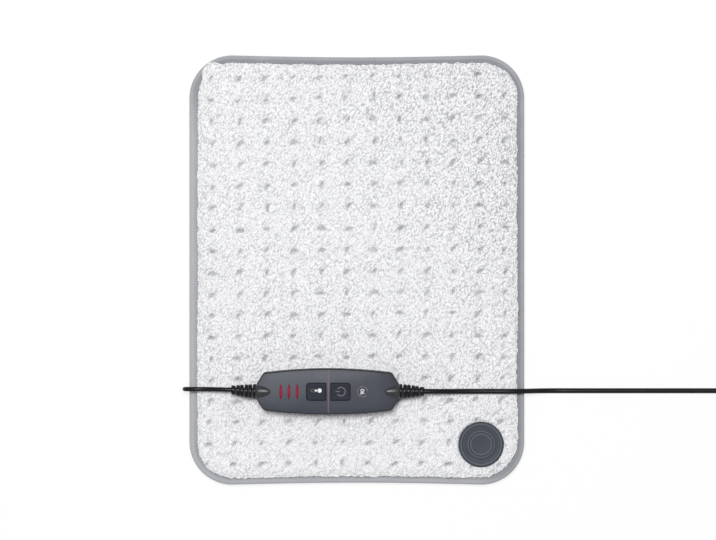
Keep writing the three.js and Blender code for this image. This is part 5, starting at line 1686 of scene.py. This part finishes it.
class MakeHousing(bpy.types.Operator):
    """Makes the controller's cover with its end swellings, and its lower housing"""

    bl_idname = "heatpad.make_housing"
    bl_label = "Controller housing"

    def execute(self, context):
        settings = context.scene.heatpad_control
        # The dark colour is the tray's plastic, and also the painted shade on the cover's rim below its
        # face
        colour, dark = settings.housing, shaded(settings.housing, 0.22)
        cover = cover_finish(colour, settings.line, dark, settings.crown)
        top = self.make_top(settings.crown / MM)
        dress(top, cover, "housing_dark", ["controller_top_housing"], sharp=32)
        # The swellings are the housing's plastic, darkened with painted shade
        swelling = moulded_finish("swelling_painted_shade", shaded(colour, 0.35), 0.3, 0.3)
        for side, name in ((-1, "left"), (1, "right")):
            work = self.swelling(side)
            finished(f"cover_swelling_{name}", work, swelling, "housing_dark", sharp=50)
        tray = moulded_finish("tray_moulding", dark, 0.5)
        dress(self.make_tray(), tray, "housing_dark", ["controller_bottom_housing"], sharp=32)
        return {"FINISHED"}

    def make_top(self, crown):
        low = PARTING + 0.15
        fillet = 1.4
        shoulder = CONTROL_TOP - 0.45
        levels = [(0.4, low), (0.15, low + 0.25)]
        levels += [(0.4 + fillet * i, shoulder - fillet * j) for i, j in quarter_turn(6)]
        levels += [(3.2, CONTROL_TOP - 0.22), (5, CONTROL_TOP - 0.08), (7.5, CONTROL_TOP)]
        work = self.stacked(levels)
        self.slice_face(work)
        for vert in work.verts:
            x, y, z = (c / MM for c in vert.co)
            share = float(smooth((z - low - 2) / (CONTROL_TOP - low - 2)))
            vert.co.z = (z - cover_fall(x, y, crown) * share) * MM
        shell = own_mesh("controller_cover", work)
        cutters = [self.stacked([
            (CONTROL_WALL, PARTING - 2), (CONTROL_WALL, CONTROL_TOP - 6.5),
            (CONTROL_WALL + 4, CONTROL_TOP - 4.2), (CONTROL_WALL + 6, CONTROL_TOP - 2.8),
        ])]
        for side in (-1, 1):
            steps = ((0.3, 28), (0.3, 33.8), (0.55, 34.12), (0.55, 36))
            cutters.append(ringed([key_ring(side, growth, z) for growth, z in steps]))
            cutters.append(self.end_hole(side))
        cutters += [bar_rings(x, 0.2, 28, 37) for x in INDICATORS]
        return carve(shell, [own_mesh("cutter", work) for work in cutters])

    def stacked(self, levels):
        """A closed form from insets of the controller's outline and their heights."""
        return ringed([control_outline(inset, z) for inset, z in levels])

    def slice_face(self, work):
        """Cuts the housing into short lengths, so that its face can be bent."""
        cuts = [((1, 0, 0), CONTROL_X - 64, 4, 33), ((0, 1, 0), CONTROL_Y - 20, 2, 21)]
        for normal, start, step, count in cuts:
            for k in range(count):
                bmesh.ops.bisect_plane(
                    work, geom=list(work.verts) + list(work.edges) + list(work.faces),
                    plane_co=Vector(normal) * (start + k * step) * MM, plane_no=normal, dist=1e-6,
                )

    def swelling(self, side):
        """The swelling over a strain relief: round across, and drawn to a blunt tip inwards."""
        stations = [
            (0.9, 4.6, 32.4), (0.7, 5.3, 33.2), (0.1, 5.9, 33.95), (-1.5, 6.15, 34.3),
            (-4, 6.05, 34.5), (-6.5, 5.6, 34.6), (-9, 4.7, 34.6), (-10.8, 3.6, 34.5),
            (-12, 2.4, 34.35), (-12.7, 1.3, 34.15), (-12.95, 0.4, 33.9),
        ]
        end = CONTROL_X + side * CONTROL_HALF_LENGTH
        rings = [
            [
                (end + side * along, CONTROL_Y + y, ridge - 0.8 * half_width + 0.8 * z)
                for y, z in section(half_width, half_width, 1, 1, 36)
            ]
            for along, half_width, ridge in stations
        ]
        return ringed(rings)

    def end_hole(self, side):
        x = CONTROL_X + side * CONTROL_HALF_LENGTH
        return placed(rod(4.9, -4, 4, sides=32), x, CONTROL_Y, PARTING, ALONG_X)

    def make_tray(self):
        high, fillet = PARTING - 0.15, 2.4
        levels = [(fillet * j, CONTROL_BOTTOM + fillet * i) for i, j in quarter_turn(6)]
        tray = own_mesh("controller_tray", self.stacked(levels + [(0, high - 0.25), (0.25, high)]))
        cutters = [self.stacked([
            (CONTROL_WALL + 1, CONTROL_BOTTOM + 2), (CONTROL_WALL, CONTROL_BOTTOM + 3),
            (CONTROL_WALL, PARTING + 2),
        ])]
        cutters += [self.end_hole(side) for side in (-1, 1)]
        for x, y in SCREWS:
            cutters += [rod(2.7, 12, 16.3, x, y), rod(1.5, 12, 20, x, y)]
        return carve(tray, [own_mesh("cutter", work) for work in cutters])


def bar_rings(x, growth, bottom, top):
    """An indicator bar's body: long, and narrowing to its rounded ends."""
    half_width = INDICATOR_WIDTH / 2 + 0.15 + growth
    half_length = INDICATOR_LENGTH / 2 + 0.4 + growth
    ring = section(half_width, half_length, 1.6, 0.85, 32, start=0.5)
    return ringed([[(x + a, CONTROL_Y + b, z) for a, b in ring] for z in (bottom, top)])


class MakeIndicators(bpy.types.Operator):
    """Makes the three red indicator bars"""

    bl_idname = "heatpad.make_indicators"
    bl_label = "Indicator bars"

    def execute(self, context):
        settings = context.scene.heatpad_control
        finish = lamp_finish("indicator_lens", settings.bars, 0.06)
        bottom = 30.7
        for number, x in enumerate(INDICATORS, 1):
            top = CONTROL_TOP - cover_fall(x, CONTROL_Y, settings.crown / MM) + 0.1
            work = bar_rings(x, 0, bottom, top)
            rim = [e for e in work.edges if all(v.co.z > (top - 0.1) * MM for v in e.verts)]
            round_off(work, rim, 0.35)
            work = joined(work, slab(4.6, 15.4, bottom, bottom + 1.2, x, CONTROL_Y, 0.2, 1))
            window = f"indicator_window_{number}"
            finished(f"indicator_bar_{number}", work, finish, "indicator_red", window)
        return {"FINISHED"}


def printed_arc(x, y, z, radius, width, start, span, steps):
    """A flat printed arc."""
    work = bmesh.new()
    low, near, far = z - PRINT_DEPTH, radius - width / 2, radius + width / 2
    corners = [(near, low), (far, low), (far, z), (near, z)]
    work.faces.new([work.verts.new((r * MM, 0, h * MM)) for r, h in corners])
    bmesh.ops.spin(
        work, geom=list(work.faces) + list(work.verts) + list(work.edges), cent=(0, 0, 0),
        axis=(0, 0, 1), angle=span, steps=steps, use_merge=False, use_duplicate=False,
    )
    bmesh.ops.holes_fill(work, edges=work.edges)
    bmesh.ops.remove_doubles(work, verts=work.verts, dist=1e-7)
    bmesh.ops.recalc_face_normals(work, faces=work.faces)
    return placed(work, x, y, 0, Matrix.Rotation(start, 4, "Z"))


def printed_bar(width, depth, x, y, z):
    return slab(width, depth, z - PRINT_DEPTH, z, x, y)


class MakeKeys(bpy.types.Operator):
    """Makes the two keys with their printed symbols, and the ring symbol on the cover"""

    bl_idname = "heatpad.make_keys"
    bl_label = "Keys and symbols"

    SYMBOL_Z = KEY_TOP - 0.14  # level of the print in the keys' hollows
    HOLLOW = 2.2  # inset of the hollow's edge

    def execute(self, context):
        settings = context.scene.heatpad_control
        finish = moulded_finish("key_moulding", settings.key, 0.55, 0.12, 0.3)
        ink = print_finish("symbol_print", settings.symbols)
        pale = print_finish("symbol_print_pale", shaded(settings.symbols, 0.24))
        for side, name in ((-1, "temperature_key"), (1, "power_key")):
            self.make_key(side, name, finish)
        self.make_thermometer(ink, pale)
        self.make_power(pale)
        self.make_timer(pale, ink, settings.crown / MM)
        return {"FINISHED"}

    def make_key(self, side, name, finish):
        """A key with a rounded edge and a shallow hollow for the finger."""
        edge = 0.7
        rings = [key_ring(side, 0, KEY_BOTTOM), key_ring(side, 0, KEY_TOP - edge)]
        rings += [key_ring(side, -edge * i, KEY_TOP - edge * j) for i, j in quarter_turn(5)[1:]]
        rings.append(key_ring(side, -self.HOLLOW, KEY_TOP - 0.08))
        rings += [self.inner(side, inset, drop) for inset, drop in ((4.2, 0.2), (6.2, 0.26))]
        at = BRIDGE_X + side * (BRIDGE_WIDTH + KEY_LENGTH) / 2, CONTROL_Y
        flange = slab(KEY_LENGTH, KEY_WIDTH + 2.4, KEY_BOTTOM, KEY_BOTTOM + 1.4, *at, 0.2, 1)
        stem = rod(2, 26.2, KEY_BOTTOM + 0.7, *at)
        work = joined(ringed(rings), flange, stem)
        finished(f"{name}_top", work, finish, "key_dark", name, body=f"{name}_cap")

    def inner(self, side, inset, drop):
        """The hollow's rings: the key's outline shrunk towards its middle."""
        middle = BRIDGE_X + side * (BRIDGE_WIDTH + KEY_LENGTH) / 2
        scale = (1 - inset / (KEY_WIDTH / 2)) / (1 - self.HOLLOW / (KEY_WIDTH / 2))
        return [
            (middle + (x - middle) * scale, CONTROL_Y + (y - CONTROL_Y) * scale, KEY_TOP - drop)
            for x, y, _ in key_ring(side, -self.HOLLOW, 0)
        ]

    def make_power(self, ink):
        """The usual sign for on and off, its stroke towards the indicator bars."""
        x, y, z = -14.6, CONTROL_Y + 0.2, self.SYMBOL_Z
        gap = 0.62
        ring = printed_arc(x, y, z, 3.9, 0.5, math.pi + gap, 2 * (math.pi - gap), 40)
        work = joined(ring, printed_bar(3.8, 0.5, x - 3.1, y, z))
        finished("power_symbol", work, ink, "key_dark", body="power_key_cap")

    def make_thermometer(self, ink, pale):
        """A thermometer lying on its side, its bulb towards the bridge."""
        x, y, z = -34.4, CONTROL_Y + 1.1, self.SYMBOL_Z
        bulb = rod(1.95, z - PRINT_DEPTH, z, x, y, 32)
        mercury = joined(bulb, printed_bar(3.4, 1.3, x - 2.7, y, z))
        sides = [printed_bar(4.6, 0.28, x - 4.6, y + across, z) for across in (-1.15, 1.15)]
        glass = joined(*sides, printed_arc(x - 6.9, y, z, 1.15, 0.28, math.pi / 2, math.pi, 14))
        for name, work, finish in (("mercury", mercury, ink), ("glass", glass, pale)):
            finished(f"temperature_{name}", work, finish, "key_dark", body="temperature_key_cap")

    def make_timer(self, pale, ink, crown):
        """A broken ring with a number of minutes in it, printed on the cover."""
        x, y = 5.4, CONTROL_Y
        z = CONTROL_TOP - cover_fall(x, y, crown) + 0.02
        starts = (0.2, 1.3, 2.4, 3.5, 4.6)
        arcs = [printed_arc(x, y, z, 4.7, 0.4, start, 0.9, 12) for start in starts]
        finished("timer_ring", joined(*arcs), pale, "key_dark")
        text = bpy.data.curves.new("minutes", "FONT")
        text.body = "90"
        text.size = 5.2 * MM
        text.extrude = 0.06 * MM
        text.align_x = text.align_y = "CENTER"
        label = link("minutes", text)
        mesh = evaluated_mesh(label)
        bpy.data.objects.remove(label)
        turn = Matrix.Rotation(math.pi / 2, 4, "Z")
        mesh.transform(Matrix.Translation(Vector((x, y, z - 0.05)) * MM) @ turn)
        dress(link("timer_minutes", mesh), ink, "key_dark")


class MakeReliefs(bpy.types.Operator):
    """Makes the ribbed strain reliefs at the controller's ends"""

    bl_idname = "heatpad.make_reliefs"
    bl_label = "Strain reliefs"

    NECK = [(0, -4.7), (5.5, -4.7), (5.5, -2.3), (4.6, -2.3), (4.6, 0.5), (0, 0.5)]

    def execute(self, context):
        finish = rubber_finish("relief_rubber", context.scene.heatpad_leads.jacket)
        ends = ((-1, "pad_side_relief", 2.1, 4.3, 1.4), (1, "mains_side_relief", 2.4, 4.2, 0))
        for side, name, lead_radius, tip, bend in ends:
            ribs = ribbed_relief(RELIEF_RIBS, RELIEF_LENGTH, 6.8, tip, lead_radius + 0.7)
            placed(ribs, 0, 0, 0.3)
            for vert in ribs.verts:
                vert.co.y += bend * MM * (vert.co.z / (RELIEF_LENGTH * MM)) ** 2
            work = joined(ribs, spun(self.NECK, 40))
            turn = Matrix.Rotation(side * math.pi / 2, 4, "Y")
            placed(work, CONTROL_X + side * CONTROL_HALF_LENGTH, CONTROL_Y, PARTING, turn)
            finished(f"{name}_ribs", work, finish, "lead_black", name)
        return {"FINISHED"}


class FinishParts(bpy.types.Operator):
    """Gives the CAD's own hidden parts their finishes"""

    bl_idname = "heatpad.finish_parts"
    bl_label = "Inner parts"

    def execute(self, context):
        housing = context.scene.heatpad_control.housing
        base = moulded_finish("base_moulding", shaded(housing, 0.72), 0.5)
        cream = moulded_finish("terminal_plastic", (0.7, 0.67, 0.56), 0.5)
        rubber = rubber_finish("inner_jacket", context.scene.heatpad_leads.jacket)
        chip = moulded_finish("chip_epoxy", (0.012, 0.012, 0.013), 0.5)
        board = board_finish("board_laminate", (0.02, 0.1, 0.035))
        capacitor = moulded_finish("capacitor_case", (0.33, 0.04, 0.025), 0.4)
        fuse = moulded_finish("fuse_tube", (0.6, 0.64, 0.65), 0.15)
        steel = metal_finish("screw_steel", (0.62, 0.62, 0.62))
        lamp = lamp_finish("lamp_lens", (0.5, 0.02, 0.03), 0.0)
        by_finish = (
            (base, ["entry_base"]),
            (cream, ["entry_terminal_block", "pad_side_terminal", "mains_side_terminal"]),
            (rubber, ["entry_strain_relief", "pad_lead_entry_end"]),
            (rubber, ["pad_lead_inner_end", "mains_lead_inner_end"]),
            (chip, ["temperature_switch", "power_switch", "control_chip", "triac"]),
            (board, ["circuit_board"]),
            (capacitor, ["film_capacitor"]),
            (fuse, ["mains_fuse"]),
            (steel, [f"temperature_cutout_{number}" for number in (1, 2)]),
            (steel, [f"entry_screw_{number}" for number in (1, 2)]),
            (steel, [f"housing_screw_{number}" for number in (1, 2, 3, 4)]),
            (lamp, [f"indicator_lamp_{number}" for number in (1, 2, 3)]),
        )
        for finish, names in by_finish:
            for name in names:
                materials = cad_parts[name].data.materials
                materials.clear()
                materials.append(finish)
        return {"FINISHED"}


# Add-on

STEPS = [
    MakeStage, MakeLeads, MakePlug, MakeFront, MakeBinding, MakeBack, MakeLayers, MakeEntry,
    MakeHousing, MakeIndicators, MakeKeys, MakeReliefs, FinishParts,
]
SETTINGS = {
    "heatpad_pad": PadSettings,
    "heatpad_control": ControlSettings,
    "heatpad_leads": LeadSettings,
    "heatpad_stage": StageSettings,
}


class HeatingPadPanel(bpy.types.Panel):
    """Lists the steps that build the heating pad"""

    bl_idname = "VIEW3D_PT_heatpad"
    bl_label = "Heating pad"
    bl_space_type = "VIEW_3D"
    bl_region_type = "UI"
    bl_category = "Heating pad"

    def draw(self, context):
        for name, group in SETTINGS.items():
            box = self.layout.box()
            for setting in group.__annotations__:
                box.prop(getattr(context.scene, name), setting)
        for step in STEPS:
            self.layout.operator(step.bl_idname)


def register():
    for kind in [*SETTINGS.values(), *STEPS, HeatingPadPanel]:
        bpy.utils.register_class(kind)
    for name, group in SETTINGS.items():
        setattr(bpy.types.Scene, name, bpy.props.PointerProperty(type=group))


def unregister():
    for name in SETTINGS:
        delattr(bpy.types.Scene, name)
    for kind in reversed([*SETTINGS.values(), *STEPS, HeatingPadPanel]):
        bpy.utils.unregister_class(kind)


def main():
    register()
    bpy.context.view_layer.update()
    for step in STEPS:
        area, action = step.bl_idname.split(".")
        getattr(getattr(bpy.ops, area), action)()


if __name__ == "__main__":
    main()
